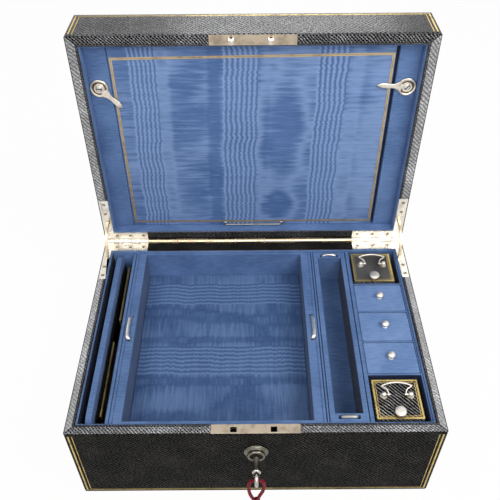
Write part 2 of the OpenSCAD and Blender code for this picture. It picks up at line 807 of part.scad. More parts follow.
// Half outline of the tail: shares of the lever's length and of the disc's radius
tail_half = [[0.19, 0.76], [0.29, 0.52], [0.35, 0.38], [0.43, 0.28], [0.51, 0.245], [0.60, 0.25],
    [0.71, 0.28], [0.83, 0.29], [0.905, 0.23], [0.965, 0.13]];
tail_count = len(tail_half);
tail_outline = concat(
    [for (p = tail_half) [p[0] * lever_l, -p[1] * lever_disc_d / 2]],
    [[lever_l, 0]],
    [for (i = [1 : tail_count]) [tail_half[tail_count - i][0] * lever_l, tail_half[tail_count - i][1] * lever_disc_d / 2]]
);
module turnbuckle(centre, turn) {
    translate([centre[0], centre[1], lid_z + lever_v]) rotate([0, 0, turn]) mirror([0, 0, 1]) {
        difference() {
            linear_extrude(lever_t) {
                circle(lever_disc_d / 2);
                polygon(tail_outline);
            }
            translate([0, 0, -1]) cylinder(r = post_r + 0.1, h = lever_t + 2);
            translate([0, 0, lever_t - 0.6]) difference() {
                cylinder(r = lever_disc_d / 2 - 2.2, h = 1);
                translate([0, 0, -1]) cylinder(r = lever_disc_d / 2 - 4.4, h = 3);
                translate([0, -3, -1]) cube([lever_disc_d, 6, 3]);
            }
        }
    }
}
lever_left_turn = 46.8;
lever_right_turn = 176.6;
module turnbuckle_left() { color(GILT) open_lid() turnbuckle(lever_left, lever_left_turn); }
module turnbuckle_right() { color(GILT) open_lid() turnbuckle(lever_right, -lever_right_turn); }
module turnbuckle_posts() {
    color(SILVER) open_lid() for (c = [lever_left, lever_right])
        translate([c[0], c[1], lid_z + cheek_v]) mirror([0, 0, 1]) {
            cylinder(r = post_r, h = lever_t + 0.7);
            translate([0, 0, lever_t + 0.5]) cylinder(r1 = 3.4, r2 = 2.8, h = 0.6);
        }
}

// Pull on the letter panel: a thin wire bail on two studs
module panel_pull() {
    r = 0.9;
    color(GILT) open_lid() {
        rod_x(-pull_half, pull_half, pull_y + pull_drop, lid_z + pull_v, r);
        for (s = [-1, 1]) {
            translate([s * pull_half, pull_y + pull_drop, lid_z + pull_v]) sphere(r);
            rod_y(s * pull_half, pull_y, pull_y + pull_drop, lid_z + pull_v, r);
            rod_x(s * pull_half - 1.6, s * pull_half + 1.6, pull_y, lid_z + pull_v, 1.3);
        }
    }
}
module panel_pull_studs() {
    color(GILT) open_lid() for (s = [-1, 1]) translate([s * (pull_half + 3.1), pull_y, lid_z + panel_v]) {
        mirror([0, 0, 1]) cylinder(r = 1.3, h = panel_v - pull_v + 1.1);
    }
}

// Trays

// Strap loop along X, centred at the origin on the tray's top, with a leg at each end
loop_w = 3.5;
loop_t = 1.6;
loop_leg = 12;
module lift_loop(l) {
    rise = 1.2;
    r = (l * l / 4 + rise * rise) / (2 * rise);
    intersection() {
        translate([0, 0, rise + loop_t + 0.1 - r]) difference() {
            rod_y(0, -loop_w, loop_w, 0, r, $fn = 180);
            rod_y(0, -loop_w - 1, loop_w + 1, 0, r - loop_t, $fn = 180);
        }
        translate([0, 0, -2]) linear_extrude(8) rrect(l, loop_w, 1);
    }
    for (s = [-1, 1]) translate([s * (l / 2 - 1.3), 0, -loop_leg])
        linear_extrude(loop_leg + 0.9) rrect(2.2, loop_w - 0.3, 0.6);
}
module loop_holes(l) {
    for (s = [-1, 1]) translate([s * (l / 2 - 0.6), 0, -loop_leg - 0.6])
        linear_extrude(loop_leg + 2) rrect(4.2, loop_w + 0.8, 0.8);
}
main_loop_l = 33.5;
main_loop_inset = 6.2;
main_loop_front = 133;
main_loop_y = front + main_loop_front;
pen_loop_l = 19;
pen_loop_inset = 6;
pen_mid = (pen_left + pen_right) / 2;

module main_tray() {
    color(SILK) difference() {
        span([main_left, tray_front, tray_bottom], [main_right, tray_back, tray_top]);
        span([main_left + main_side_t, tray_front + main_end_t, tray_floor],
            [main_right - main_side_t, tray_back - main_end_t, tray_top + 1]);
        for (x = [main_left + 3, main_right - 3])
            span([x - 0.4, tray_front - 1, tray_top - 0.8], [x + 0.4, tray_back + 1, tray_top + 1]);
        for (x = [main_left + main_loop_inset, main_right - main_loop_inset])
            translate([x, main_loop_y, tray_top]) rotate([0, 0, 90]) loop_holes(main_loop_l);
    }
}
module tray_loop_left() {
    color(SILVER) translate([main_left + main_loop_inset, main_loop_y, tray_top])
        rotate([0, 0, 90]) lift_loop(main_loop_l);
}
module tray_loop_right() {
    color(SILVER) translate([main_right - main_loop_inset, main_loop_y, tray_top])
        rotate([0, 0, 90]) lift_loop(main_loop_l);
}

module pen_tray() {
    color(SILK) difference() {
        span([pen_left, tray_front, tray_bottom], [pen_right, tray_back, tray_top]);
        span([pen_left + pen_side_t, tray_front + pen_end_t, tray_floor],
            [pen_right - pen_side_t, tray_back - pen_end_t, tray_top + 1]);
        for (y = [tray_front + pen_loop_inset, tray_back - pen_loop_inset])
            translate([pen_mid, y, tray_top]) loop_holes(pen_loop_l);
    }
}
module pen_loop_front() {
    color(SILVER) translate([pen_mid, tray_front + pen_loop_inset, tray_top]) lift_loop(pen_loop_l);
}
module pen_loop_rear() {
    color(SILVER) translate([pen_mid, tray_back - pen_loop_inset, tray_top]) lift_loop(pen_loop_l);
}

// Small cell lids with turned knobs
knob_stem_r = 1.5;
module cell_lid(i) {
    color(SILK) difference() {
        translate([cell_mid, cell_y(i) + small_cell_d / 2, tray_top - cell_lid_t]) linear_extrude(cell_lid_t)
            rrect(cell_right - cell_left - 2 * cell_fit, small_cell_d - 2 * cell_fit, 1.5);
        translate([cell_mid, cell_y(i) + small_cell_d / 2, tray_top - cell_lid_t - 1])
            cylinder(r = knob_stem_r, h = cell_lid_t + 2);
    }
}
module cell_knob(i) {
    color(SILVER) translate([cell_mid, cell_y(i) + small_cell_d / 2, tray_top]) {
        rotate_extrude() polygon([[0, 0], [2.9, 0], [2.9, 0.5], [1.9, 1.1], [1.9, 1.8], [3.2, 2.3],
            [4, 3.2], [4.3, 4.4], [4, 5.6], [3.1, 6.6], [1.7, 7.3], [0, 7.5]]);
        translate([0, 0, -cell_lid_t]) cylinder(r = knob_stem_r, h = cell_lid_t + 1);
    }
}
module cell_lid_front() { cell_lid(0); }
module cell_lid_middle() { cell_lid(1); }
module cell_lid_rear() { cell_lid(2); }
module cell_knob_front() { cell_knob(0); }
module cell_knob_middle() { cell_knob(1); }
module cell_knob_rear() { cell_knob(2); }

// Leather cases, each with a hinged lid, a bail on two studs and a catch button
case_body_h = case_h - case_lid_t - case_gap;
case_knuckle = case_w / 5;
function case_stud_y(cy) = cy - case_d / 2 + stud_from_front;
function case_button_y(cy) = cy - case_d / 2 + button_from_front;
button_stem_r = 2;

module case_body(cy) {
    hy = cy + case_d / 2;
    color(LEATHER) difference() {
        union() {
            translate([case_cx, cy, cell_floor]) linear_extrude(case_body_h) rrect(case_w, case_d, 1.5);
            for (s = [-1, 1]) rod_x(case_cx + s * case_knuckle - case_knuckle / 2 + 0.15,
                case_cx + s * case_knuckle + case_knuckle / 2 - 0.15, hy, case_hinge_z, case_barrel_r);
        }
        translate([case_cx, cy, cell_floor + case_wall]) linear_extrude(case_h)
            rrect(case_w - 2 * case_wall, case_d - 2 * case_wall, 1);
        rod_x(case_cx - case_knuckle / 2 - 0.15, case_cx + case_knuckle / 2 + 0.15, hy, case_hinge_z,
            case_barrel_r + 0.3);
    }
    color(SILVER) rod_x(case_cx - case_knuckle * 1.4, case_cx + case_knuckle * 1.4, hy, case_hinge_z, 0.5);
}

module case_lid(cy) {
    hy = cy + case_d / 2;
    color(LEATHER) difference() {
        union() {
            difference() {
                translate([case_cx, cy, case_top - case_lid_t]) linear_extrude(case_lid_t)
                    rrect(case_w, case_d, 1.5);
                rod_x(case_cx - case_w, case_cx + case_w, hy, case_hinge_z, case_barrel_r + 0.3);
            }
            rod_x(case_cx - case_knuckle / 2 + 0.15, case_cx + case_knuckle / 2 - 0.15, hy, case_hinge_z,
                case_barrel_r);
            span([case_cx - case_knuckle / 2 + 0.15, hy - 2, case_hinge_z + case_gap / 2],
                [case_cx + case_knuckle / 2 - 0.15, hy, case_hinge_z + 2]);
        }
        rod_x(case_cx - case_w, case_cx + case_w, hy, case_hinge_z, 0.56);
        translate([case_cx, case_button_y(cy), case_top - case_lid_t - 1])
            cylinder(r = button_stem_r + 0.2, h = case_lid_t + 2);
        for (s = [-1, 1]) translate([case_cx + s * stud_half, case_stud_y(cy), case_top - 3])
            cylinder(r = 1.25, h = 4);
    }
}

// Yoke-shaped bail in its own plane, lying back over the case
module case_bail(cy) {
    horn = [15.4, 8.6];
    elbow = [9.6, 4.6];
    foot = [8.6, 1.3];
    arch_r = 34;
    reach = 12.2;
    color(SILVER) translate([case_cx, case_stud_y(cy), case_top + bail_axis_h]) difference() {
        union() {
            rotate([bail_angle, 0, 0]) translate([0, 0, -0.8]) {
                intersection() {
                    translate([0, reach - arch_r, 0]) difference() {
                        cylinder(r = arch_r + 1.2, h = 1.6, $fn = 120);
                        translate([0, 0, -1]) cylinder(r = arch_r - 1.2, h = 4, $fn = 120);
                    }
                    translate([-horn[0] + 0.3, 4, -1]) cube([2 * horn[0] - 0.6, 14, 4]);
                }
                for (s = [0, 1]) mirror([s, 0, 0]) {
                    stroke(horn, elbow, 2.2, 1.6);
                    stroke(elbow, foot, 2.2, 1.6);
                }
            }
            for (s = [-1, 1]) rod_x(s * foot[0] - 1.3, s * foot[0] + 1.3, 0, 0, 1.5);
        }
        rod_x(-2 * foot[0], 2 * foot[0], 0, 0, 0.75);
    }
}

// Ball studs with inward pivot pins, and the collar round the button's stem
module case_studs(cy) {
    color(SILVER) {
        for (s = [-1, 1]) translate([case_cx + s * stud_half, case_stud_y(cy), case_top]) {
            cylinder(r = 3.4, h = 0.8);
            cylinder(r = 1.7, h = bail_axis_h);
            translate([0, 0, bail_axis_h]) sphere(r = 2.7);
            translate([0, 0, -2.8]) cylinder(r = 1.2, h = 3);
            rod_x(s > 0 ? -6.2 : 2, s > 0 ? -2 : 6.2, 0, bail_axis_h, 0.68);
        }
        translate([case_cx, case_button_y(cy), case_top]) difference() {
            cylinder(r = 3.6, h = 1);
            translate([0, 0, -1]) cylinder(r = button_stem_r + 0.2, h = 3);
        }
    }
}

// Domed button on a stem that reaches the catch inside the case
module case_button(cy) {
    color(SILVER) translate([case_cx, case_button_y(cy), case_top]) {
        rotate_extrude() polygon([[0, 3], [5, 3], [5.8, 3.6], [5.8, 4.6], [5, 5.6], [3, 6.2], [0, 6.4]]);
        translate([0, 0, -case_lid_t - 3]) cylinder(r = button_stem_r, h = case_lid_t + 7);
    }
}

module ink_case() { case_body(ink_cy); }
module ink_case_lid() { case_lid(ink_cy); }
module ink_bail() { case_bail(ink_cy); }
module ink_studs() { case_studs(ink_cy); }
module ink_button() { case_button(ink_cy); }
module lights_case() { case_body(lights_cy); }
module lights_case_lid() { case_lid(lights_cy); }
module lights_bail() { case_bail(lights_cy); }
module lights_studs() { case_studs(lights_cy); }
module lights_button() { case_button(lights_cy); }

// Square glass bottle with a round neck, in the rear of the ink case
module ink_bottle() {
    w = case_w - 2 * case_wall - 2;
    d = case_d - 2 * case_wall - 8;
    h = case_body_h - case_wall - 1;
    neck_h = 8;
    roof = 6;
    color("lightblue", 0.6) translate([case_cx, ink_cy + 3.4, cell_floor + case_wall]) difference() {
        union() {
            linear_extrude(h - neck_h) rrect(w, d, 3);
            translate([0, 0, h - neck_h - 1]) cylinder(r = 11, h = neck_h + 1);
        }
        translate([0, 0, 3]) linear_extrude(h - neck_h - roof) rrect(w - 6, d - 6, 2);
        translate([0, 0, h - neck_h - roof]) cylinder(r = 8, h = neck_h + 2 * roof);
    }
}

// Folded wallet standing in the slot: two covers, a spine below and leaves between
wallet_t = 9;
module wallet() {
    x0 = cav_left + divider_gap + divider_t + 2.6;
    y0 = cav_front + 11;
    y1 = cav_back - 11;
    top = tray_top - 9;
    color(WOOD) {
        for (x = [x0, x0 + wallet_t - 1.5]) span([x, y0, floor_z], [x + 1.5, y1, top]);
        span([x0, y0, floor_z], [x0 + wallet_t, y1, floor_z + 1.5]);
    }
    color(GILT) span([x0 + 1.5 - e, y0 + 3, floor_z + 1.5 - e], [x0 + wallet_t - 1.5 + e, y1 - 3, top - 4]);
}

base_carcase();
base_cover();
base_lining();
partitions();
cell_block();
tray_rests();
slot_divider();
hinge_base_leaf();
hinge_pins();
base_plate_left();
base_plate_right();
base_screws();
lock_case();
lock_plate();
lock_nozzle();
lid_carcase();
lid_cover();
lid_lining();
panel_cheeks();
letter_panel();
hinge_lid_leaf();
lid_plate_left();
lid_plate_right();
lid_screws();
link_plate();
turnbuckle_posts();
panel_pull_studs();
quadrant_left();
quadrant_right();
turnbuckle_left();
turnbuckle_right();
panel_pull();
main_tray();
tray_loop_left();
tray_loop_right();
pen_tray();
pen_loop_front();
pen_loop_rear();
cell_lid_front();
cell_lid_middle();
cell_lid_rear();
cell_knob_front();
cell_knob_middle();
cell_knob_rear();
ink_case();
ink_case_lid();
ink_bottle();
ink_bail();
ink_studs();
ink_button();
lights_case();
lights_case_lid();
lights_bail();
lights_studs();
lights_button();
wallet();
lock_bolt();
lock_plug();
key();
key_cord();
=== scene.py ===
"""Looks of a travelling writing box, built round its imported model.

Lengths in this file are millimetres until a mesh is made, and metres in the materials. X
runs to the right, Y to the back and Z up; the lid's own pieces are given as x, distance from
the hinge and depth below the lid's rim, and lid_place turns those into the open lid's place.
"""

import json
import math

import bmesh
import bpy
import numpy as np
from mathutils import Matrix, Vector


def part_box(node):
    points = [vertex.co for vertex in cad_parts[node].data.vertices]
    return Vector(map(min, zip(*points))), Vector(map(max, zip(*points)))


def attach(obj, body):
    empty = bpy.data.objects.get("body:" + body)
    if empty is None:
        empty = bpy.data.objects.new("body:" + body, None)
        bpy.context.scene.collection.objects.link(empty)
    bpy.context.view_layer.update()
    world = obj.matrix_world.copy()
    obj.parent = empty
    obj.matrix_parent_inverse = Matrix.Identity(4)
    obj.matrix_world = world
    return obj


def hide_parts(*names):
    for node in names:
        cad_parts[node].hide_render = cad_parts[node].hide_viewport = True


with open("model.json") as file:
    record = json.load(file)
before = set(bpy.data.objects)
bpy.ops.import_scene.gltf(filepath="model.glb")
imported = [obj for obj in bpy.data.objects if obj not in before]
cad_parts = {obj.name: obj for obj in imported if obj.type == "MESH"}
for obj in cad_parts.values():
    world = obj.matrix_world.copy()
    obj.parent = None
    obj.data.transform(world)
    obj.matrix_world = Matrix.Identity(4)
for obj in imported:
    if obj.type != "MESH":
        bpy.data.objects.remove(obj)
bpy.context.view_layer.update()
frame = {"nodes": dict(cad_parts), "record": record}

BODY_OF = {n: b for b, ns in frame["record"]["behaviour"]["bodies"].items() for n in ns}

# Sizes shared with the model
FRONT, BACK = -134.5, 134.5
RIGHT = 185.0
BASE_H = 116.3
HINGE_Z = 116.5
LID_H = 51.3
LID_ANGLE = math.radians(91.4)
LID_SIN, LID_COS = math.sin(LID_ANGLE), math.cos(LID_ANGLE)
LID_OUT = np.array([0.0, -LID_SIN, -LID_COS])
RIM_GAP_HALF = 0.2
CORNER_R = 4.0
SIDE_WALL, FRONT_WALL = 9.8, 11.0
LID_SIDE_WALL, LID_FRONT_WALL = 12.2, 12.0
PLATE_SIDE = 64.0
LOCK_HALF = 43.4
BARREL_R = 3.5
LINK_X = (-21.4, 17.6)
LINK_FRONT = 266.3
TRAY_FLOOR = 75.0
CASE_X, CASE_TOP, CASE_DEPTH = 141.7, 115.9, 46.0
KEY_X, KEY_Z, BOW_Y = 0.4, 83.0, -163.8

# The materials by name; the frame has some of the same names
LOOKS = {}

# How meshes are merged and shaded
MERGE = 1e-6
FLAT_ANGLE = math.radians(0.5)
SHARP = 35.0


def mm(node):
    """Lowest and highest corner of a CAD node, as arrays in millimetres."""
    low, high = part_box(node)
    return np.array(low) * 1000, np.array(high) * 1000


def add_object(name, data):
    """A new object in the scene, at the origin."""
    made = bpy.data.objects.new(name, data)
    bpy.context.scene.collection.objects.link(made)
    return made


def make_camera():
    """A 47 mm lens at the place and angles worked out from the box's own corners."""
    place = Vector((-0.004034, -0.459238, 0.676349))
    down, turn, roll = math.radians(44.154), math.radians(-0.035), math.radians(-0.4217)
    ahead = Vector((math.sin(turn) * math.cos(down), math.cos(turn) * math.cos(down), -math.sin(down)))
    side = ahead.cross(Vector((0, 0, 1))).normalized()
    right = side * math.cos(roll) + side.cross(ahead) * math.sin(roll)
    data = bpy.data.cameras.new("view_camera")
    data.sensor_width = 36.0
    data.lens = 652.85 / 500 * data.sensor_width
    data.clip_start = 0.01
    data.clip_end = 20
    camera = add_object("view_camera", data)
    turned = Matrix((right, right.cross(ahead), -ahead)).transposed()
    camera.matrix_world = Matrix.Translation(place) @ turned.to_4x4()
    bpy.context.scene.camera = camera


make_camera()


# Points and places


def points(*axes):
    """Points from their coordinates, each a number or an array."""
    return np.stack(np.broadcast_arrays(*axes), -1)


def raised(flat, height):
    """Points of a plane with their height as a third coordinate."""
    return np.concatenate([flat, np.broadcast_to(height, flat.shape[:-1])[..., None]], -1)


def full_turn(count):
    """Angles evenly spread round a circle."""
    return np.linspace(0, 2 * np.pi, count, endpoint=False)


def polar(radius, turn):
    """Points of a plane at the given distances and angles."""
    return points(radius * np.cos(turn), radius * np.sin(turn))


def circle(turn, u, v):
    """Points of the unit circle in the plane of two directions."""
    return np.cos(turn)[..., None] * u + np.sin(turn)[..., None] * v


def in_place(p):
    """Points that are in the box's frame already."""
    return p


def lid_place(p):
    """From (x, distance from the hinge, depth below the rim) to the open lid's place."""
    u, v = p[..., 1], p[..., 2] + RIM_GAP_HALF
    return points(p[..., 0], BACK - u * LID_COS + v * LID_SIN, HINGE_Z + u * LID_SIN + v * LID_COS)


def lid_rim_place(p):
    """The lid's rim is drawn as the base's is, seen from above: y becomes the distance from
    the hinge, and height becomes rise above the rim."""
    return lid_place(points(p[..., 0], BACK - p[..., 1], -p[..., 2]))


def lid_top_place(p):
    """The lid's top: (x, y, rise above the leather)."""
    return lid_place(points(p[..., 0], BACK - p[..., 1], LID_H + p[..., 2]))


def link_front_place(p):
    """(x, depth below the rim, rise) on the faces of the links that look up in the open lid."""
    return lid_place(points(p[..., 0], LINK_FRONT + p[..., 2], p[..., 1]))


# Mesh making


def ring_faces(rows, cols, loop):
    """Quads between neighbouring rings of cols points; loop joins the last ring to the first."""
    i, j = np.meshgrid(np.arange(rows if loop else rows - 1), np.arange(cols), indexing="ij")
    i2, j2 = (i + 1) % rows, (j + 1) % cols
    return points(i * cols + j, i2 * cols + j, i2 * cols + j2, i * cols + j2).reshape(-1, 4)


def tube(rings, loop=False):
    """Closed skin through rings of points, one ring a row. Open ends are closed with fans to
    their middles. Faces are turned outwards by the sign of the volume that they enclose."""
    rows, cols = rings.shape[:2]
    verts = rings.reshape(-1, 3)
    quads = ring_faces(rows, cols, loop)
    fans = np.zeros((0, 3), int)
    if not loop:
        verts = np.vstack([verts, rings[0].mean(0), rings[-1].mean(0)])
        k = np.arange(cols)
        k2 = (k + 1) % cols
        last = (rows - 1) * cols
        fans = np.vstack([points(k2, k, rows * cols), points(last + k, last + k2, rows * cols + 1)])
    volume = 0.0
    for corners in (quads[:, :3], quads[:, [0, 2, 3]], fans):
        a, b, c = (verts[corners[:, n]] for n in range(3))
        volume += (np.cross(b, c) * a).sum()
    if volume < 0:
        quads, fans = quads[:, ::-1], fans[:, ::-1]
    return verts, quads, fans


def dress(made, body, nodes):
    """Tells the frame which body a piece rides on and the nodes that it replaces."""
    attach(made, body)
    if nodes:
        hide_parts(*nodes)


def smooth(mesh, sharp):
    """Smooth shading that breaks at edges sharper than so many degrees."""
    mesh.shade_smooth()
    mesh.set_sharp_from_angle(angle=math.radians(sharp))


def piece(name, parts, material, body, sharp=SHARP, replaces=()):
    """One object from several closed skins, in metres, riding on a body."""
    verts, faces, start = [], [], 0
    for part, quads, fans in parts:
        verts.append(part)
        faces += (quads + start).tolist() + (fans + start).tolist()
        start += len(part)
    mesh = bpy.data.meshes.new(name)
    mesh.from_pydata((np.vstack(verts) / 1000).tolist(), [], faces)
    mesh.update()
    smooth(mesh, sharp)
    mesh.materials.append(LOOKS[material])
    made = add_object(name, mesh)
    dress(made, body, replaces)
    return made


def remade(node, parts, material, sharp):
    """A piece in place of one CAD node, riding where it rode."""
    piece(node + "_made", parts, material, BODY_OF[node], sharp, [node])


def softened(node, finishes, width, slot, rule=None):
    """A copy of a CAD node, its triangles merged and flat faces joined, with its sharp edges
    rounded to width by a Bevel. Where more than one finish is named, the rule gives each face,
    from its middle and normal, the number of its own: 0 for the first, and so on."""
    mesh = frame["nodes"][node].data.copy()
    mesh.name = node + "_soft"
    bm = bmesh.new()
    bm.from_mesh(mesh)
    bmesh.ops.remove_doubles(bm, verts=bm.verts, dist=MERGE)
    bmesh.ops.dissolve_limit(bm, angle_limit=FLAT_ANGLE, verts=bm.verts, edges=bm.edges)
    bm.to_mesh(mesh)
    bm.free()
    mesh.materials.clear()
    for finish in finishes.split():
        mesh.materials.append(LOOKS[finish])
    if rule:
        middles, normals = np.zeros((2, len(mesh.polygons) * 3))
        mesh.polygons.foreach_get("center", middles)
        mesh.polygons.foreach_get("normal", normals)
        chosen = rule(middles.reshape(-1, 3) * 1000, normals.reshape(-1, 3))
        mesh.polygons.foreach_set("material_index", chosen.astype(np.int32))
    smooth(mesh, SHARP)
    made = add_object(node + "_soft", mesh)
    bevel = made.modifiers.new("round", "BEVEL")
    bevel.width = width / 1000
    bevel.segments = 2
    bevel.limit_method = "ANGLE"
    bevel.angle_limit = math.radians(SHARP)
    bevel.harden_normals = True
    dress(made, BODY_OF[node], [node])


def lathe(profile, origin, axis, segments=48, hollow=False):
    """Surface of revolution: each profile point (radius, height) becomes a circle round axis.
    A hollow one has a closed profile, and its last circle is joined to its first."""
    profile = np.asarray(profile, float)
    axis = np.asarray(axis, float) / np.linalg.norm(axis)
    u = np.cross(axis, [1.0, 0, 0] if abs(axis[0]) < 0.9 else [0, 1.0, 0])
    u /= np.linalg.norm(u)
    reach, height = profile[:, :1, None], profile[:, 1:, None]
    rings = np.asarray(origin, float) + reach * circle(full_turn(segments), u, np.cross(axis, u))
    return tube(rings + height * axis, hollow)


def closed_rod(ring, outward, axis, radius, count):
    """A closed rod: round each point of a ring lies a circle of the given radius, in the plane
    of that point's outward direction and the axis."""
    section = circle(full_turn(count), outward[:, None], np.asarray(axis, float))
    return tube(ring[:, None] + radius * section, True)


def smooth_path(corners, count):
    """Points spread evenly by length along Catmull-Rom cubics through the given points."""
    p = np.asarray(corners, float)
    ends = np.vstack([2 * p[0] - p[1], p, 2 * p[-1] - p[-2]])
    t = np.linspace(0, 1, 24, endpoint=False)[:, None]
    a, b, c, d = (ends[n:len(ends) - 3 + n, None] for n in range(4))
    fine = 0.5 * (2 * b + (c - a) * t + (2 * a - 5 * b + 4 * c - d) * t**2 + (3 * b - 3 * c + d - a) * t**3)
    fine = np.vstack([fine.reshape(-1, p.shape[1]), p[-1]])
    far = lengths_along(fine)
    where = np.linspace(0, far[-1], count)
    return points(*[np.interp(where, far, column) for column in fine.T])


def lengths_along(path):
    """How far each point of a path lies from its start."""
    return np.r_[0, np.cumsum(np.linalg.norm(np.diff(path, axis=0), axis=1))]


def frames_along(path, flat):
    """Unit side and normal at each point of a path: side lies across it, in the plane that
    has flat as its normal."""
    tangent = np.gradient(path, axis=0)
    tangent /= np.linalg.norm(tangent, axis=1)[:, None]
    side = np.cross(np.broadcast_to(flat, path.shape), tangent)
    side /= np.linalg.norm(side, axis=1)[:, None]
    return side, np.cross(tangent, side)


def sweep(path, flat, width, thick, round_power, count):
    """A rounded bar carried along a path: its section is the superellipse
    |a / half width|^n + |b / half thickness|^n = 1, with n the round power."""
    side, up = frames_along(path, np.asarray(flat, float))
    turn = full_turn(count)
    a, b = (np.sign(v) * np.abs(v) ** (2 / round_power) for v in (np.cos(turn), np.sin(turn)))
    half_w, half_t = (np.broadcast_to(np.asarray(v) / 2, len(path))[:, None, None] for v in (width, thick))
    return tube(path[:, None] + half_w * a[:, None] * side[:, None] + half_t * b[:, None] * up[:, None])


def rounded_outline(w, d, r):
    """Points round a w by d rectangle with corners of radius r, anticlockwise, with the
    straight sides cut up too."""
    r = min(r, w / 2 - 1e-3, d / 2 - 1e-3)
    arcs = []
    for k, (cx, cy) in enumerate([(1, 1), (-1, 1), (-1, -1), (1, -1)]):
        angle = np.linspace(0, np.pi / 2, 5) + k * np.pi / 2
        arcs.append(np.array([cx * (w / 2 - r), cy * (d / 2 - r)]) + polar(r, angle))
    share = np.linspace(0, 1, 8)[1:-1, None]
    outline = []
    for arc, after in zip(arcs, arcs[1:] + arcs[:1]):
        outline += [arc, arc[-1] + share * (after[0] - arc[-1])]
    return np.vstack(outline)


def pad(low, high, edge, corner, crown=0.0, place=in_place):
    """A board with rounded edges and a crowned face. Rings climb the quarter circle of the
    lower edge, the side and the upper edge, then shrink to the middle while the height grows
    by crown times one minus the square of the share still left."""
    low, high = np.asarray(low, float), np.asarray(high, float)
    size = (high - low)[:2]
    turn = np.linspace(0, np.pi / 2, 5)
    inset = edge * np.r_[1 - np.sin(turn), 1 - np.cos(turn)]
    left = np.linspace(1, 0.04, 8)[1:]
    shrink = 1 - 2 * inset[:, None] / size
    shrink = np.vstack([shrink, shrink[-1] * left[:, None]])
    climb = np.r_[low[2] + edge * (1 - np.cos(turn)), high[2] - edge + edge * np.sin(turn)]
    height = np.r_[climb, high[2] + crown * (1 - left**2)]
    rings = raised(rounded_outline(*size, corner) * shrink[:, None], height[:, None])
    return tube(place(rings + np.append((low + high)[:2] / 2, 0)))


def flat_frame(x0, x1, y0, y1, width, low, high, place=in_place):
    """A rectangular frame of flat strip, mitred: four sections, one at each corner."""
    outer = np.array([[x0, y0], [x1, y0], [x1, y1], [x0, y1]], float)
    inner = outer + width * np.array([[1, 1], [-1, 1], [-1, -1], [1, -1]])
    section = [raised(outer, low), raised(inner, low), raised(inner, high), raised(outer, high)]
    return tube(place(np.stack(section, 1)), True)


# Shader tools


class Value:
    """A shader's socket that can stand in a sum: each operation adds a Math node."""

    def __init__(self, tree, socket):
        self.tree = tree
        self.socket = socket

    def math(self, operation, *others):
        return put(self.tree, "Math", dict(enumerate((self, *others))), operation=operation)[0]

    def __add__(self, other):
        return self.math("ADD", other)

    def __sub__(self, other):
        return self.math("SUBTRACT", other)

    def __rsub__(self, other):
        return put(self.tree, "Math", {0: other, 1: self}, operation="SUBTRACT")[0]

    def __mul__(self, other):
        return self.math("MULTIPLY", other)

    def __truediv__(self, other):
        return self.math("DIVIDE", other)


def feed(socket, value):
    """Links a value to a socket, or fills the socket with a number, vector or opaque colour."""
    if isinstance(value, Value):
        value.tree.links.new(value.socket, socket)
    else:
        socket.default_value = (*value, 1.0) if socket.type == "RGBA" else value


def put(tree, kind, inputs=None, **settings):
    """Adds a shader node, sets it up and feeds its inputs. Gives its outputs as values, by
    number and by name."""
    made = tree.nodes.new("ShaderNode" + kind)
    for key, value in settings.items():
        setattr(made, key, value)
    for key, value in (inputs or {}).items():
        feed(made.inputs[key], value)
    return {key: Value(tree, s) for n, s in enumerate(made.outputs) for key in (n, s.name)}


def split(vector):
    """The three parts of a vector."""
    return put(vector.tree, "SeparateXYZ", {0: vector})


def joined(x, y=0.0):
    """A vector from one or two values."""
    return put(x.tree, "CombineXYZ", {0: x, 1: y})[0]


def stretched(vector, scale, turn=0.0):
    """A vector scaled along each axis, then turned about Z."""
    return put(vector.tree, "Mapping", {"Vector": vector, "Scale": scale, "Rotation": (0.0, 0.0, turn)})[0]


def blend(share, a, b):
    """Colour a where share is 0 and b where it is 1."""
    return put(share.tree, "Mix", {0: share, 6: a, 7: b}, data_type="RGBA")[2]


def spread(value, low, high, to_low=0.0, to_high=1.0, kind="SMOOTHSTEP"):
    """Maps low to high on to new ends, held at the ends."""
    inputs = {0: value, 1: low, 2: high, 3: to_low, 4: to_high}
    return put(value.tree, "MapRange", inputs, interpolation_type=kind)[0]


def noise(vector, scale, detail=3.0, rough=0.55):
    """Cloudy noise from 0 to 1."""
    inputs = {"Vector": vector, "Scale": scale, "Detail": detail, "Roughness": rough}
    return put(vector.tree, "TexNoise", inputs)["Fac"]


def wave_of(phase):
    """The sine of a phase."""
    return phase.math("SINE")


def bump(height, strength, distance):
    """A normal that raises the surface by height times distance metres."""
    return put(height.tree, "Bump", {"Height": height, "Strength": strength, "Distance": distance})[0]


def use(drawn, **inputs):
    """Places a group where its inputs come from, and gives its outputs."""
    tree = next(value.tree for value in inputs.values() if isinstance(value, Value))
    return put(tree, "Group", inputs, node_tree=drawn)


def group(draw, inputs, outputs, kind="Float"):
    """A shader node group named after the function that draws it. An input with a default is
    a number, and one without is a vector; the outputs are all of one kind."""
    tree = bpy.data.node_groups.new(draw.__name__, "ShaderNodeTree")
    for label, default in inputs.items():
        sort = "NodeSocketVector" if default is None else "NodeSocketFloat"
        made = tree.interface.new_socket(label, in_out="INPUT", socket_type=sort)
        if default is not None:
            made.default_value = default
    for label in outputs:
        tree.interface.new_socket(label, in_out="OUTPUT", socket_type="NodeSocket" + kind)
    given, end = tree.nodes.new("NodeGroupInput"), tree.nodes.new("NodeGroupOutput")
    drawn = draw(*[Value(tree, given.outputs[label]) for label in inputs])
    for label, value in zip(outputs, drawn):
        feed(end.inputs[label], value)
    return tree


# Shader groups


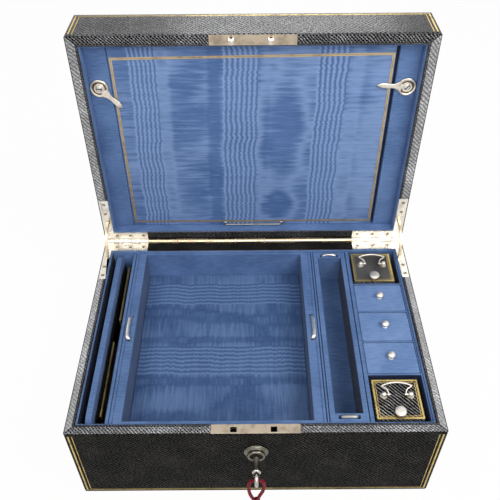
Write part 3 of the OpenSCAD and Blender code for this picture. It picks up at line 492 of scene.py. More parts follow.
def face_coordinates(place, facing):
    """Two coordinates that lie in whichever flat face is being shaded: Y and Z on a side,
    X and Z on a front, X and Y on a top."""
    p, n = split(place), split(facing)
    side, top = (n[axis].math("ABSOLUTE").math("GREATER_THAN", 0.6) for axis in (0, 2))
    across = put(place.tree, "Mix", {0: side, 2: p[0], 3: p[1]})[0]
    up = put(place.tree, "Mix", {0: top, 2: p[2], 3: p[1]})[0]
    return [joined(across, up)]


def crossed_grain(flat, pitch, second, narrow):
    """Crossed leather grain: two sets of wavering diagonal ridges, the second as strong as
    Second says. Ridge is the size of the sine of place over Pitch, kept only above Narrow, and
    broken up by noise. Scuff is slow wear and Pore the skin's fine roughness."""
    p = split(flat)
    waver = (noise(flat, 70.0) - 0.5) * 0.006 + (noise(flat, 420.0, 2.0) - 0.5) * 0.0016
    ridges = []
    for diagonal in (p[0] + p[1], p[0] - p[1]):
        ridge = wave_of((diagonal + waver) / pitch * math.pi).math("ABSOLUTE")
        ridges.append(spread(ridge, narrow, 1.0))
    broken = spread(noise(flat, 520.0, 2.0), 0.32, 0.62, 0.25, 1.0)
    scuff = spread(noise(flat, 26.0, 5.0, 0.7), 0.40, 0.70)
    pore = spread(noise(flat, 480.0, 3.0, 0.7), 0.48, 0.66)
    return ridges[0].math("MAXIMUM", ridges[1] * second) * broken, scuff, pore


def ribbed_cloth(flat, pitch):
    """Ribbed silk: fine cords lie across the face, a lighter warp crosses them, and slow
    noise gives the uneven shine of old silk."""
    p = split(flat)
    ribs = wave_of(p[1] / pitch * (2 * math.pi))
    warp = wave_of(p[0] / pitch * (6 * math.pi)) * 0.35
    slub = noise(stretched(flat, (0.12, 1.0, 1.0)), 700.0, 2.0)
    cloud = noise(flat, 22.0, 4.0)
    return ribs + warp + slub * 1.2, spread(slub * 0.45 + cloud * 0.55, 0.34, 0.66)


def watered_marks(across, along, band, phase):
    """Watered silk, as two nearly equal sets of ribs laid over each other: the mark is half of
    one plus the sine of a phase. Phase is what the bands give, plus a slow wander, plus a
    jagged part that changes from rib to rib. Outside the bands the wander is a little smaller
    and the jagged part larger, so that the contours open into islands with feathered edges."""

    def drawn(a, b, detail):
        return noise(joined(across * a, along * b), 1.0, detail, 0.6) - 0.5

    outside = 1.0 - band
    wander = drawn(14.0, 16.0, 1.5) * (outside * -0.2 + 1.3)
    jagged = drawn(26.0, 300.0, 3.0) * (outside * 0.15 + 0.85)
    wave = wave_of((phase + wander + jagged) * (2 * math.pi)) * 0.5 + 0.5
    mark = wave * (band * 0.25 + 0.75) + outside * -0.02
    return mark, spread(drawn(14.0, 380.0, 3.0) + 0.5, 0.36, 0.66)


def rubbed_metal(place, scratch):
    """Rubbed metal: long fine scratches in two directions, soft clouds of tarnish, and pits."""
    one = noise(stretched(place, (60.0, 2600.0, 900.0), 0.12), 1.0, 2.0)
    two = noise(stretched(place, (2100.0, 90.0, 140.0), -0.3), 1.0, 2.0)
    scratches = spread(one, 0.56, 0.72).math("MAXIMUM", spread(two, 0.6, 0.74)) * scratch
    tarnish = spread(noise(place, 95.0, 5.0, 0.65), 0.42, 0.74)
    return scratches, tarnish, noise(place, 1500.0, 2.0) * 0.25 - scratches


FACE = group(face_coordinates, {"Place": None, "Facing": None}, ["Flat"], "Vector")
GRAIN = group(crossed_grain, {"Flat": None, "Pitch": 0.003, "Second": 0.5, "Narrow": 0.5},
              ["Ridge", "Scuff", "Pore"])
CLOTH = group(ribbed_cloth, {"Flat": None, "Pitch": 0.0006}, ["Height", "Shade"])
WATER = group(watered_marks, {"Across": 0.0, "Along": 0.0, "Band": 0.0, "Phase": 0.0}, ["Mark", "Streak"])
RUB = group(rubbed_metal, {"Place": None, "Scratch": 1.0}, ["Scratches", "Tarnish", "Height"])


# Materials


def shade(made, **values):
    """Feeds the sockets of a material's shader; an underline stands for a space."""
    for key, value in values.items():
        feed(made.node_tree.nodes["Principled BSDF"].inputs[key.replace("_", " ")], value)


def start_material(name, **constants):
    """A material with its shader's constants set, and the object's coordinates."""
    made = LOOKS[name] = bpy.data.materials.new(name)
    made.use_nodes = True
    shade(made, **constants)
    return made, put(made.node_tree, "TexCoord")["Object"]


def flat_of(place):
    """The two coordinates in the face that is being shaded."""
    return use(FACE, Place=place, Facing=put(place.tree, "TexCoord")["Normal"])[0]


def leather(name, crease, crown, pitch, second, narrow, depth, rough, shine, pore, gloss, worn=0.0,
            sheen_spot=None):
    """Leather with crossed grain; crown is the colour on the grain's ridges, shine the coat
    there, gloss the plain reflection, and pore how much the fine skin shows between ridges.
    A pale crown on black leather is painted highlight. Sheen spot is a place along X and a half
    width of painted sheen: away from there the ridges are painted darker, by the square of the
    distance."""
    made, place = start_material(name, Coat_Roughness=0.25, Specular_IOR_Level=gloss)
    grain = use(GRAIN, Flat=flat_of(place), Pitch=pitch, Second=second, Narrow=narrow)
    scuff = grain["Scuff"]
    crest = grain["Ridge"].math("MAXIMUM", grain["Pore"] * pore)
    lit = crest * (scuff * 0.5 + 0.5)
    # Painted sheen: ridges lighter near the sheen spot and darker away from it, not below three tenths
    if sheen_spot:
        far = (split(place)[0] - sheen_spot[0]) / sheen_spot[1]
        lit = lit * (1.0 - far * far).math("MAXIMUM", 0.3)
    colour = blend(lit, crease, crown)
    if worn:
        colour = blend(scuff * worn, colour, (0.09, 0.065, 0.05))
    shade(made, Base_Color=colour, Coat_Weight=crest * shine, Roughness=scuff * 0.14 + rough,
          Normal=bump(crest, 0.7, depth))


def silk(name, dark, light, pitch=0.0008):
    """Plain ribbed silk."""
    made, place = start_material(name, Roughness=0.6, Sheen_Weight=0.12, Sheen_Roughness=0.35,
                                 Specular_IOR_Level=0.25)
    cloth = use(CLOTH, Flat=flat_of(place), Pitch=pitch)
    shade(made, Base_Color=blend(cloth["Shade"], dark, light), Normal=bump(cloth["Height"], 0.5, 0.00012))


def watered_silk(name, across_axis, along_axis, bands, islands, dark, mid, light, lean):
    """Watered silk; bands are (low, high, waves): the places across, in millimetres, between
    which so many wavy lines run. Islands are (across, along, half across, half along, waves):
    round each the phase grows by waves * exp(-distance^4), distance counted in those halves.
    Lean is how far the bands shift across for each unit along."""
    made, place = start_material(name, Sheen_Weight=0.12, Sheen_Roughness=0.35, Roughness=0.55,
                                 Specular_IOR_Level=0.3)
    across, along = split(place)[across_axis], split(place)[along_axis]
    moved = along * lean + (noise(joined(along * 15.0), 1.0, 2.0) - 0.5) * 0.012 + across
    band, phase = across * 0.0, across * 0.0
    for low, high, waves in bands:
        rise = spread(moved, (low - 3) / 1000, (low + 2) / 1000)
        fall = spread(moved, (high - 2) / 1000, (high + 3) / 1000)
        band = rise - fall + band
        phase = spread(moved, low / 1000, high / 1000, 0.0, float(waves), "LINEAR") + phase
    for a, b, half_a, half_b, waves in islands:
        da = (moved - a / 1000) / (half_a / 1000)
        db = (along - b / 1000) / (half_b / 1000)
        far = da * da + db * db
        phase = (far * far * -1.0).math("EXPONENT") * waves + phase
    marks = use(WATER, Across=across, Along=along, Band=band, Phase=phase)
    cloth = use(CLOTH, Flat=flat_of(place))
    mark, streak = marks["Mark"], marks["Streak"]
    base = blend(streak * 0.25 + cloth["Shade"] * 0.75, dark, mid)
    shade(made, Base_Color=blend(mark * (streak * 0.25 + 0.75), base, light),
          Normal=bump(cloth["Height"] + mark * 1.2, 0.4, 0.0001))


def metal(name, colour, tarnish, rough, scratch=1.0, tarnish_share=0.6):
    """Old polished metal: tarnish clouds change the colour and dull it, scratches catch light."""
    made, place = start_material(name, Metallic=1.0)
    rub = use(RUB, Place=place, Scratch=scratch)
    shade(made, Base_Color=blend(rub["Tarnish"] * tarnish_share, colour, tarnish),
          Roughness=rub["Scratches"] * 0.1 + (rub["Tarnish"] * 0.16 + rough),
          Normal=bump(rub["Height"], 0.35, 0.00004))


def carcase_wood():
    """Plain wood: rings of noise drawn out along X."""
    made, place = start_material("carcase_wood", Roughness=0.6)
    rings = noise(stretched(place, (6.0, 160.0, 160.0)), 1.0, 6.0, 0.6)
    colour = blend(spread(rings, 0.35, 0.65), (0.16, 0.085, 0.045), (0.33, 0.19, 0.10))
    shade(made, Base_Color=colour, Normal=bump(rings, 0.3, 0.0002))


def bottle_glass():
    """Clear glass with a faint green tint."""
    made, place = start_material("bottle_glass", Transmission_Weight=1.0, IOR=1.5,
                                 Base_Color=(0.86, 0.94, 0.92))
    shade(made, Roughness=spread(noise(place, 60.0), 0.3, 0.8, 0.01, 0.06))


def crimson_cord():
    """Twisted crimson silk: the piece's own UV map gives the turn and the length, and thin
    threads follow the twist."""
    made, _ = start_material("crimson_cord", Roughness=0.6, Sheen_Weight=0.08, Specular_IOR_Level=0.2)
    uv = put(made.node_tree, "UVMap", uv_map="lie")[0]
    p = split(uv)
    mix = wave_of((p[0] + p[1] * 9.0) * 90.0) * 0.3 + noise(uv, 90.0)
    shade(made, Base_Color=blend(spread(mix, 0.2, 0.9), (0.07, 0.0, 0.004), (0.38, 0.003, 0.022)),
          Normal=bump(mix, 0.6, 0.0003))


def gilt_leaves():
    """Gilt edges of a stack of leaves: thin dark lines between pages."""
    made, place = start_material("gilt_leaves", Metallic=0.7, Roughness=0.4)
    pages = wave_of(split(place)[0] * (2 * math.pi / 0.0006))
    share = spread(pages * 0.25 + noise(place, 60.0, 4.0), 0.3, 0.8)
    shade(made, Base_Color=blend(share, (0.10, 0.075, 0.03), (0.42, 0.33, 0.15)),
          Normal=bump(pages, 0.4, 0.0001))


BLACK = (0.0012, 0.0012, 0.0014)
WHITE = (1.0, 1.0, 1.0)
# Place along X and half width, in metres, of the painted sheen on the lid's front face
SHEEN_PLACE = (-0.03, 0.27)

# Leathers: name, crease, crown, pitch, second, narrow, depth, rough, shine, pore, gloss, and for
# some of them wear or the painted sheen's place. The pale crowns on the rims, beads and cases
# are painted highlight on black leather; the lid's rim is a darker copy of the base's rim,
# painted shade.
for leather_row in (
    ("side_leather", BLACK, (0.062, 0.060, 0.055), 0.0042, 0.6, 0.5, 0.0004, 0.42, 0.25, 0.4, 0.0, 0.03),
    ("lid_leather", (0.003, 0.003, 0.0035), (0.37, 0.37, 0.385), 0.0046, 0.8, 0.45, 0.0006, 0.36, 0.7, 0.95,
     0.03, 0.0, SHEEN_PLACE),
    ("lid_top_leather", BLACK, (0.15, 0.15, 0.155), 0.0046, 0.8, 0.45, 0.0006, 0.36, 0.18, 0.6, 0.0),
    ("base_rim_leather", (0.004, 0.004, 0.004), (0.98, 0.98, 1.0), 0.0036, 0.5, 0.58, 0.0005, 0.32, 0.9, 0.18,
     0.03),
    ("lid_rim_leather", BLACK, (0.80, 0.80, 0.82), 0.0036, 0.35, 0.82, 0.0005, 0.32, 0.7, 0.04, 0.0),
    # The side rims: grey crease and near-white crown, painted reflection on black leather
    ("base_side_painted_reflection", (0.17, 0.17, 0.175), WHITE, 0.0043, 0.5, 0.0, 0.0004, 0.35, 0.9, 0.15, 0.3),
    ("lid_side_painted_reflection", (0.08, 0.08, 0.082), (1.0, 0.99, 1.0), 0.0048, 0.3, 0.0, 0.0004, 0.35, 0.8, 0.15,
     0.2),
    ("bead_leather", BLACK, (0.30, 0.30, 0.31), 0.0028, 0.5, 0.4, 0.0002, 0.3, 0.5, 0.3, 0.05),
    ("case_leather", BLACK, (0.66, 0.65, 0.63), 0.0043, 0.05, 0.70, 0.0005, 0.3, 0.6, 0.02, 0.0),
    ("wallet_leather", (0.002, 0.0015, 0.001), (0.012, 0.008, 0.005), 0.0024, 0.4, 0.4, 0.0002, 0.5, 0.05,
     0.3, 0.05),
):
    leather(*leather_row)

# Plain silks: name, dark, light and the pitch of the ribs where it isn't the usual one. The wall, black and
# cell silks are darker copies of the blue silk: painted shade on the trays' walls, in the slot and the
# panel's gap, and on the cells' walls
for silk_row in (
    ("silk_blue", (0.088, 0.17, 0.365), (0.165, 0.28, 0.54)),
    ("silk_wall", (0.05, 0.09, 0.19), (0.09, 0.145, 0.28)),
    ("silk_light", (0.135, 0.245, 0.495), (0.235, 0.36, 0.64), 0.0016),
    ("silk_shade", (0.006, 0.010, 0.024), (0.012, 0.020, 0.045)),
    ("silk_cell", (0.012, 0.022, 0.055), (0.028, 0.045, 0.10)),
    ("silk_deep", (0.03, 0.07, 0.2), (0.06, 0.13, 0.34)),
):
    silk(*silk_row)

PANEL_ISLANDS = [
    (29, 262, 25, 74, 0.78), (27, 160, 22, 24, 0.74), (-101, 250, 7, 190, 0.27), (-48, 240, 7, 190, -0.24),
    (6, 250, 6, 190, 0.2), (101, 250, 8, 190, 0.27), (30, 345, 34, 14, 0.2), (-76, 330, 18, 30, -0.14),
    (-74, 170, 18, 30, -0.16), (128, 250, 14, 120, 0.2),
]
TRAY_ISLANDS = [
    (50, -110, 8, 60, -0.34), (42, -40, 9, 40, -0.34), (38, 30, 9, 40, -0.34), (9, -60, 5, 120, -0.3),
    (-48, -60, 6, 150, -0.3), (-72, -90, 12, 34, 0.2), (-84, -10, 22, 34, -0.3), (-96, -90, 12, 40, -0.3),
    (-98, 45, 12, 26, 0.2),
]
watered_silk("panel_silk", 0, 2, [(-136, -107, 6), (-39, -1, 7), (60, 92, 6)], PANEL_ISLANDS,
             (0.068, 0.145, 0.35), (0.124, 0.23, 0.485), (0.31, 0.455, 0.76), -0.02)
watered_silk("tray_silk", 1, 0, [(-39, 0, 7), (63, 98, 6)], TRAY_ISLANDS,
             (0.040, 0.088, 0.215), (0.080, 0.155, 0.33), (0.18, 0.29, 0.52), 0.0)

# Metals: name, colour, tarnish, roughness, then strength of scratches and of tarnish
for metal_row in (
    ("gilt_plate", (0.86, 0.82, 0.74), (0.56, 0.47, 0.36), 0.24),
    ("gilt_dull", (0.56, 0.47, 0.36), (0.30, 0.23, 0.16), 0.3, 0.8, 0.8),
    ("gilt_pale", (0.80, 0.74, 0.64), (0.46, 0.38, 0.30), 0.24, 0.8, 0.7),
    ("gilt_warm", (0.80, 0.66, 0.44), (0.46, 0.30, 0.18), 0.2),
    ("tooled_gold", (0.70, 0.53, 0.18), (0.28, 0.19, 0.07), 0.34, 0.4, 0.9),
    ("border_gold", (0.68, 0.54, 0.30), (0.36, 0.27, 0.19), 0.4, 0.4, 0.8),
    ("border_brown", (0.40, 0.31, 0.24), (0.24, 0.19, 0.18), 0.5, 0.4, 0.8),
    ("old_silver", (0.74, 0.71, 0.67), (0.42, 0.37, 0.31), 0.26),
    ("pale_silver", (0.78, 0.74, 0.67), (0.50, 0.43, 0.35), 0.36, 0.6, 0.6),
    ("bail_silver", (0.62, 0.58, 0.52), (0.34, 0.29, 0.24), 0.26, 0.8, 0.7),
    ("key_metal", (0.50, 0.48, 0.44), (0.22, 0.19, 0.16), 0.22),
    ("dark_silver", (0.40, 0.38, 0.34), (0.12, 0.11, 0.09), 0.3),
    ("nozzle_metal", (0.20, 0.185, 0.15), (0.05, 0.042, 0.03), 0.22, 0.8, 0.8),
    ("groove_brown", (0.16, 0.12, 0.08), (0.08, 0.055, 0.035), 0.5, 0.4, 0.8),
    # Near-black metal, painted shade: the lock's plug in the nozzle, the links' windows and the screws' slots
    ("black_tarnish", (0.02, 0.018, 0.015), (0.01, 0.009, 0.008), 0.5, 0.3),
    ("bright_steel", (0.62, 0.61, 0.6), (0.3, 0.28, 0.26), 0.28),
):
    metal(*metal_row)
for make_material in (carcase_wood, bottle_glass, crimson_cord, gilt_leaves):
    make_material()


# The cord through the key's bow

CORD_D = 3.6
CORD_POINTS = [
    [-1.6, -163.8, 38], [-3.4, -164, 44], [-5.4, -164.2, 51], [-6.7, -164.2, 58],
    [-7.2, -164, 65], [-7.1, -163.8, 71], [-6.6, -163.8, 76], [-4.6, -163.8, 79.9],
    [-1.6, -163.8, 81.7], [0.4, -163.8, 81.9], [2.4, -163.8, 81.7], [5.4, -163.8, 79.9],
    [7.4, -163.8, 76], [7.9, -163.8, 71], [7.6, -163.8, 65], [6.4, -163.8, 58],
    [4.2, -163.8, 51], [2.2, -163.8, 44], [1.4, -163.8, 38], [1.0, -163.8, 31],
    [0.8, -164, 24], [0.8, -164.2, 17], [0.8, -164.2, 11],
]
CORD_COLS = 24
STRAND_LAY = 5.2


def lay_map(made, spots):
    """Gives a piece the UV map lie, from two numbers for each of its vertices."""
    layer = made.data.uv_layers.new(name="lie")
    where = np.zeros(len(made.data.loops), int)
    made.data.loops.foreach_get("vertex_index", where)
    layer.data.foreach_set("uv", spots[where].astype(np.float32).ravel())


def twisted_cord():
    """A three-ply cord: at each point of the route a section whose radius is the cord's times
    0.8 plus 0.2 of the size of cos(1.5 (angle - twist)), so that three strands wind round."""
    route = smooth_path(CORD_POINTS, 260)
    far = lengths_along(route)
    side, up = frames_along(route, np.array([0, 1.0, 0]))
    turn = full_turn(CORD_COLS)
    twist = far / STRAND_LAY * 2 * np.pi / 3
    radius = CORD_D / 2 * (0.8 + 0.2 * np.abs(np.cos(1.5 * (turn - twist[:, None]))))
    rings = route[:, None] + radius[..., None] * circle(turn, side[:, None], up[:, None])
    made = piece("crimson_cord", [tube(rings)], "crimson_cord", "cord_body", 80, ["key_cord"])
    k = np.arange(len(made.data.vertices))
    row = np.minimum(k // CORD_COLS, len(route) - 1)
    lay_map(made, points(turn[k % CORD_COLS] / (2 * np.pi), far[row] / 100))
    return made, route, far[-1]


def wound_knot():
    """A knot: a ball of 3.6 mm radius ringed by two slanting coils that bulge from it. The
    radius of a coil's section is 1.35 mm times 0.85 plus 0.15 of the size of
    cos(6 (angle round the ball) + angle round the section)."""
    centre = np.array([0, -163.8, 36.5])
    ball = [(0.3, -3.5), (2.2, -3.0), (3.3, -1.6), (3.6, 0), (3.3, 1.6), (2.2, 3.0), (0.3, 3.5)]
    parts = [lathe(ball, centre, (0, 0, 1), 32)]
    turn = full_turn(60)
    bulge = 1.35 * (0.85 + 0.15 * np.abs(np.cos(turn[:, None] * 6 + full_turn(14))))[..., None]
    for tilt, z in ((0.5, 1.0), (-0.45, -0.9)):
        ring = raised(polar(3.0, turn), z + tilt * 2.2 * np.cos(turn)) + centre
        parts.append(closed_rod(ring, raised(polar(1.0, turn), 0.0), (0, 0, 1.0), bulge, 14))
    made = piece("cord_knot", parts, "crimson_cord", "cord_body", 60)
    lay_map(made, np.array([v.co for v in made.data.vertices], float)[:, [0, 2]] * 20)
    return made


cord_piece, cord_route, cord_length = twisted_cord()
knot_piece = wound_knot()


# CAD nodes that stay as they are, by their finish

FINISH = {
    "carcase_wood": "base_carcase lid_carcase", "side_leather": "base_cover", "silk_blue": "lid_lining",
    "silk_deep": "tray_rests", "bright_steel": "hinge_pins lock_case lock_bolt", "black_tarnish": "lock_plug",
    "case_leather": "ink_case lights_case", "bottle_glass": "ink_bottle",
    "gilt_warm": "quadrant_left quadrant_right", "panel_silk": "letter_panel",
    "pale_silver": "ink_studs lights_studs ink_button lights_button cell_knob_front cell_knob_middle "
                   "cell_knob_rear",
}
for finish_name, finish_nodes in FINISH.items():
    for finish_node in finish_nodes.split():
        node_mesh = frame["nodes"][finish_node].data
        node_mesh.materials.clear()
        node_mesh.materials.append(LOOKS[finish_name])


# CAD nodes whose sharp edges are rounded


def is_wall(normals):
    """Whether each face is nearer to upright than to level."""
    return np.abs(normals[:, 2]) < 0.5


def off_the_barrel(middles, normals):
    """Faces of a hinge leaf that lie outside the barrel, under the leather."""
    return np.hypot(middles[:, 1] - BACK, middles[:, 2] - HINGE_Z) > BARREL_R + 0.12


def link_finish(middles, normals):
    """Links that stand out from the lid's rim, and the insides of their windows, which get the near-black
    metal: painted shade.
    """
    depth = (middles[:, 1] - BACK) * LID_SIN + (middles[:, 2] - HINGE_Z) * LID_COS
    beyond = depth < -0.35
    inside = np.minimum(*(np.abs(middles[:, 0] - x) for x in LINK_X)) < 1.3
    return beyond + (beyond & inside & (depth > -6.5) & is_wall(normals))


def side_wall_of(node, inset):
    """A rule that picks the upright faces of a tray's two side walls, inset from its ends; these get the
    darker silk, painted shade.
    """
    low, high = mm(node)

    def rule(middles, normals):
        near = np.minimum(np.abs(middles[:, 0] - low[0] - inset), np.abs(high[0] - inset - middles[:, 0]))
        return (near < 1.6) & (middles[:, 2] < high[2] - 1.0)
    return rule


def slot_shade(middles, normals):
    """The lining's wall in the paper slot, and the divider's side that faces it; these get the near-black
    silk, painted shade.
    """
    return (middles[:, 0] < -164.5) & (normals[:, 0] * np.sign(middles[:, 0] + 170) < -0.5)


def cell_wall(middles, normals):
    """The upright walls of the cells, given the very dark silk: painted shade."""
    return is_wall(normals) & (middles[:, 2] < BASE_H - 3)


def front_of_lid(middles, normals):
    """All but the lid's front face, which looks up while the lid is open; the front face gets the lighter
    leather, painted sheen.
    """
    return normals[:, 2] < 0.55


# Nodes, finish, width of the rounding, slot, and the rule that gives faces other finishes
for soft_nodes, *soft_values in (
    ("partitions", "silk_blue", 0.9, "silk_blue"),
    ("cell_lid_front cell_lid_middle cell_lid_rear", "silk_light", 0.9, "silk_blue"),
    ("panel_cheeks", "silk_blue", 0.7, "silk_blue"),
    ("ink_case_lid lights_case_lid", "case_leather", 0.25, "leather_black"),
    ("lock_plate", "gilt_dull", 0.3, "gilt_brass"),
    ("base_plate_left base_plate_right lid_plate_left lid_plate_right", "gilt_plate", 0.2, "gilt_brass"),
    ("panel_pull panel_pull_studs", "dark_silver", 0.2, "gilt_brass"),
    ("cell_block", "silk_blue silk_cell", 0.6, "silk_blue", cell_wall),
    ("lid_cover", "lid_leather lid_top_leather", 0.15, "leather_black", front_of_lid),
    ("base_lining", "silk_blue silk_shade", 0.3, "silk_blue", slot_shade),
    ("slot_divider", "silk_blue silk_shade", 1.4, "silk_blue", slot_shade),
    ("main_tray", "silk_blue silk_wall", 0.35, "silk_blue", side_wall_of("main_tray", 12.0)),
    ("pen_tray", "silk_blue silk_cell", 0.5, "silk_blue", side_wall_of("pen_tray", 5.0)),
    ("hinge_base_leaf hinge_lid_leaf", "gilt_warm side_leather", 0.2, "gilt_brass", off_the_barrel),
    ("link_plate", "gilt_dull gilt_pale black_tarnish", 0.3, "gilt_brass", link_finish),
):
    for soft_node in soft_nodes.split():
        softened(soft_node, *soft_values)

# Near-black pads at the links' roots: painted shadow standing for the deeper windows
piece("link_window_painted_shadow", [pad((x - 1.7, -4.9, -0.2), (x + 1.7, -0.5, 0.04), 0.1, 0.3, 0.0, link_front_place)
                       for x in LINK_X], "black_tarnish", "lid", 40)


# Leather strips on the rims

RIM_LIFT = 0.12
RIM_SINK = 0.02
MITRE_GAP = 0.45
PLATE_GAP = 0.3
BAND_OUT, BAND_IN = 1.3, 2.4
BEAD_IN, BEAD_OUT = 0.5, 1.9


def strip(a, b, inner_a, inner_b, top, place):
    """A long flat strip between two outer points and two inner points, with rounded edges:
    across it, with t from -1 to 1, the height is top plus the rim's lift times the square root
    of one minus t^6, and the ends follow the mitre."""
    a, b, inner_a, inner_b = (np.asarray(p, float) for p in (a, b, inner_a, inner_b))
    along = np.linspace(0, 1, 25)[:, None, None]
    t = np.linspace(-1, 1, 13)
    outer = a + along * (b - a)
    inner = inner_a + along * (inner_b - inner_a)
    flat = outer + ((t + 1) / 2)[:, None] * (inner - outer)
    upper = raised(flat, top + RIM_LIFT * (1 - np.abs(t) ** 6) ** 0.5)
    return tube(place(np.concatenate([upper, raised(flat[:, ::-1], top - 0.3)], 1)))


def rim_strips(wall, front_wall, top, place):
    """The strips of one rim: outer band and inner bead, along the front as far as the lock and
    up both sides as far as the corner plates, mitred at the front corners. The walls are the
    rim's widths."""
    bands, side_bands, beads = [], [], []
    plate = BACK - PLATE_SIDE - PLATE_GAP
    for s in (-1, 1):
        lock = s * (LOCK_HALF + PLATE_GAP)
        ox, ix = s * (RIGHT - BAND_OUT), s * (RIGHT - wall + BAND_IN)
        oy, iy = FRONT + BAND_OUT, FRONT + front_wall - BAND_IN
        off = s * MITRE_GAP
        bands.append(strip((ox - off, oy), (lock, oy), (ix - off, iy), (lock, iy), top, place))
        side_bands.append(strip((ox, plate), (ox, oy + MITRE_GAP), (ix, plate), (ix, iy + MITRE_GAP),
                                top, place))
        bx, by = s * (RIGHT - wall + BEAD_IN), FRONT + front_wall - BEAD_IN
        jx, jy = s * (RIGHT - wall + BEAD_OUT), FRONT + front_wall - BEAD_OUT
        beads.append(strip((jx, jy), (lock, jy), (bx, by), (lock, by), top, place))
        beads.append(strip((jx, plate), (jx, jy), (bx, plate), (bx, by), top, place))
    return bands, side_bands, beads


for part, *rim in (("base", SIDE_WALL, FRONT_WALL, BASE_H - RIM_SINK, in_place),
                   ("lid", LID_SIDE_WALL, LID_FRONT_WALL, -RIM_SINK, lid_rim_place)):
    rim_bands, rim_side_bands, rim_beads = rim_strips(*rim)
    piece(part + "_front_rim", rim_bands, part + "_rim_leather", part, 50)
    # The side rims get the lighter leathers, painted reflection
    piece(part + "_side_rims", rim_side_bands, part + "_side_painted_reflection", part, 50)
    piece(part + "_rim_beads", rim_beads, "bead_leather", part, 50)


# Gold tooling on the outer faces

LINE_RISE, LINE_SINK = 0.07, 0.15
THICK_LINE, THIN_LINE = 1.5, 0.7
SIDE_LINES = ((3.9, THICK_LINE), (8.0, THIN_LINE))
TOP_LINES = ((6.5, THICK_LINE), (9.8, THIN_LINE))
LINES_START = 3.0


def corner_fall(across, half):
    """How far a rounded upright corner falls back from the flat face."""
    over = np.clip(np.abs(across) - (half - CORNER_R), 0, CORNER_R * 0.999)
    return CORNER_R - np.sqrt(CORNER_R**2 - over**2)


def face_place(face, lid):
    """A function from (across, distance from the rim, out) on one outer face of the base or
    the lid to the box's frame."""
    sign = 1 if face in ("back", "right") else -1

    def place(p):
        across, depth, out = p[..., 0], p[..., 1], p[..., 2]
        if face in ("front", "back"):
            x, y = across, sign * (BACK + out - corner_fall(across, RIGHT))
        else:
            x, y = sign * (RIGHT + out - corner_fall(across, BACK)), across
        return lid_place(points(x, BACK - y, depth)) if lid else points(x, y, BASE_H - depth)
    return place


def tooled_line(a, b, place):
    """A thin gold strip over a rectangle of a face, given by its two ends in each direction."""
    along_a = a[1] - a[0] > b[1] - b[0]
    far, near = (a, b) if along_a else (b, a)
    grid = np.meshgrid(np.linspace(*far, 40), np.linspace(*near, 5), indexing="ij")
    flat = points(*(grid if along_a else grid[::-1]))
    rings = np.concatenate([raised(flat, LINE_RISE), raised(flat[:, ::-1], -LINE_SINK)], 1)
    return tube(place(rings))


def near_end(s, half, inset, width):
    """Both sides of a line near one end of a face."""
    return sorted((s * (half - inset), s * (half - inset - width)))


def three_sided(half, high, place):
    """Thick outer and thin inner lines near both ends of a face and along its far edge."""
    lines = []
    for inset, width in SIDE_LINES:
        top = high - inset * 0.5
        for s in (-1, 1):
            lines.append(tooled_line(near_end(s, half, inset, width), (LINES_START, top), place))
        lines.append(tooled_line((-half + inset, half - inset), (top - width * 0.5, top), place))
    return lines


base_lines, lid_lines = [], []
for face_name, face_half in (("front", RIGHT), ("back", RIGHT), ("left", BACK), ("right", BACK)):
    base_lines += three_sided(face_half, BASE_H - 1.4, face_place(face_name, False))
    lid_lines += three_sided(face_half, LID_H - 4.2, face_place(face_name, True))
for top_inset, top_width in TOP_LINES:
    long_ends, short_ends = ((-half + top_inset, half - top_inset) for half in (RIGHT, BACK))
    for end in (-1, 1):
        lid_lines.append(tooled_line(near_end(end, RIGHT, top_inset, top_width), short_ends, lid_top_place))
        lid_lines.append(tooled_line(long_ends, near_end(end, BACK, top_inset, top_width), lid_top_place))
piece("base_tooling", base_lines, "tooled_gold", "base", 50)
piece("lid_tooling", lid_lines, "tooled_gold", "lid", 50)


# Letter panel: watered silk over a board, with a gilt border

PANEL_V = 12.5
PANEL_LEFT, PANEL_RIGHT = -1.4 - 293.5 / 2, -1.4 + 293.5 / 2
PANEL_LOW, PANEL_HIGH = BACK - 118.7, BACK + 120.7
BORDER = (-146.6, 144.4, 20.3, 241.2)
BORDER_SKEW = 0.012


def panel_place(p):
    """(x, distance from the hinge, rise above the panel's face) on the letter panel."""
    return lid_place(points(p[..., 0], p[..., 1], PANEL_V - p[..., 2]))


def border_place(p):
    """The border is tooled slightly askew: its far side rises a little to the right."""
    skew = BORDER_SKEW * p[..., 0] * (p[..., 1] - BORDER[2]) / (BORDER[3] - BORDER[2])
    return panel_place(p + points(0.0, skew, 0.0))


def inner_frame(inset, width, low, high):
    """A frame of the border, inset from its outer edge."""
    x0, x1, u0, u1 = BORDER
    return flat_frame(x0 + inset, x1 - inset, u0 + inset, u1 - inset, width, low, high, border_place)


piece("letter_panel_silk", [pad((PANEL_LEFT, PANEL_LOW, -3.0), (PANEL_RIGHT, PANEL_HIGH, 0.0), 0.9, 1.2, 0.35,
                                panel_place)], "panel_silk", "lid", 35, ["letter_panel"])
piece("panel_border_ground", [inner_frame(0.0, 2.8, -0.2, 0.32)], "border_brown", "lid", 30)
piece("panel_border_lines", [inner_frame(inset, 0.8, -0.1, 0.42) for inset in (0.15, 1.75)], "border_gold",
      "lid", 30)

# Near-black silk at the bottom of the gap at the letter panel's right side: painted shadow where the gap is
# in shade
piece("panel_gap_painted_shadow", [pad((PANEL_RIGHT + 0.15, BACK - 116.5, -3.4), (PANEL_RIGHT + 3.2, BACK + 116, -2.2),
                              0.3, 0.4, 0.1, panel_place)], "silk_shade", "lid")


# Tray floors



def tray_floor(node, inset, rise, edge, corner, crown, material):
    """The silk-covered floor of a tray, inset from its walls across and along."""
    low, high = mm(node)
    low[:2] += inset
    high[:2] -= inset
    low[2], high[2] = TRAY_FLOOR - 0.4, TRAY_FLOOR + rise
    piece(node + "_floor", [pad(low, high, edge, corner, crown)], material, BODY_OF[node])


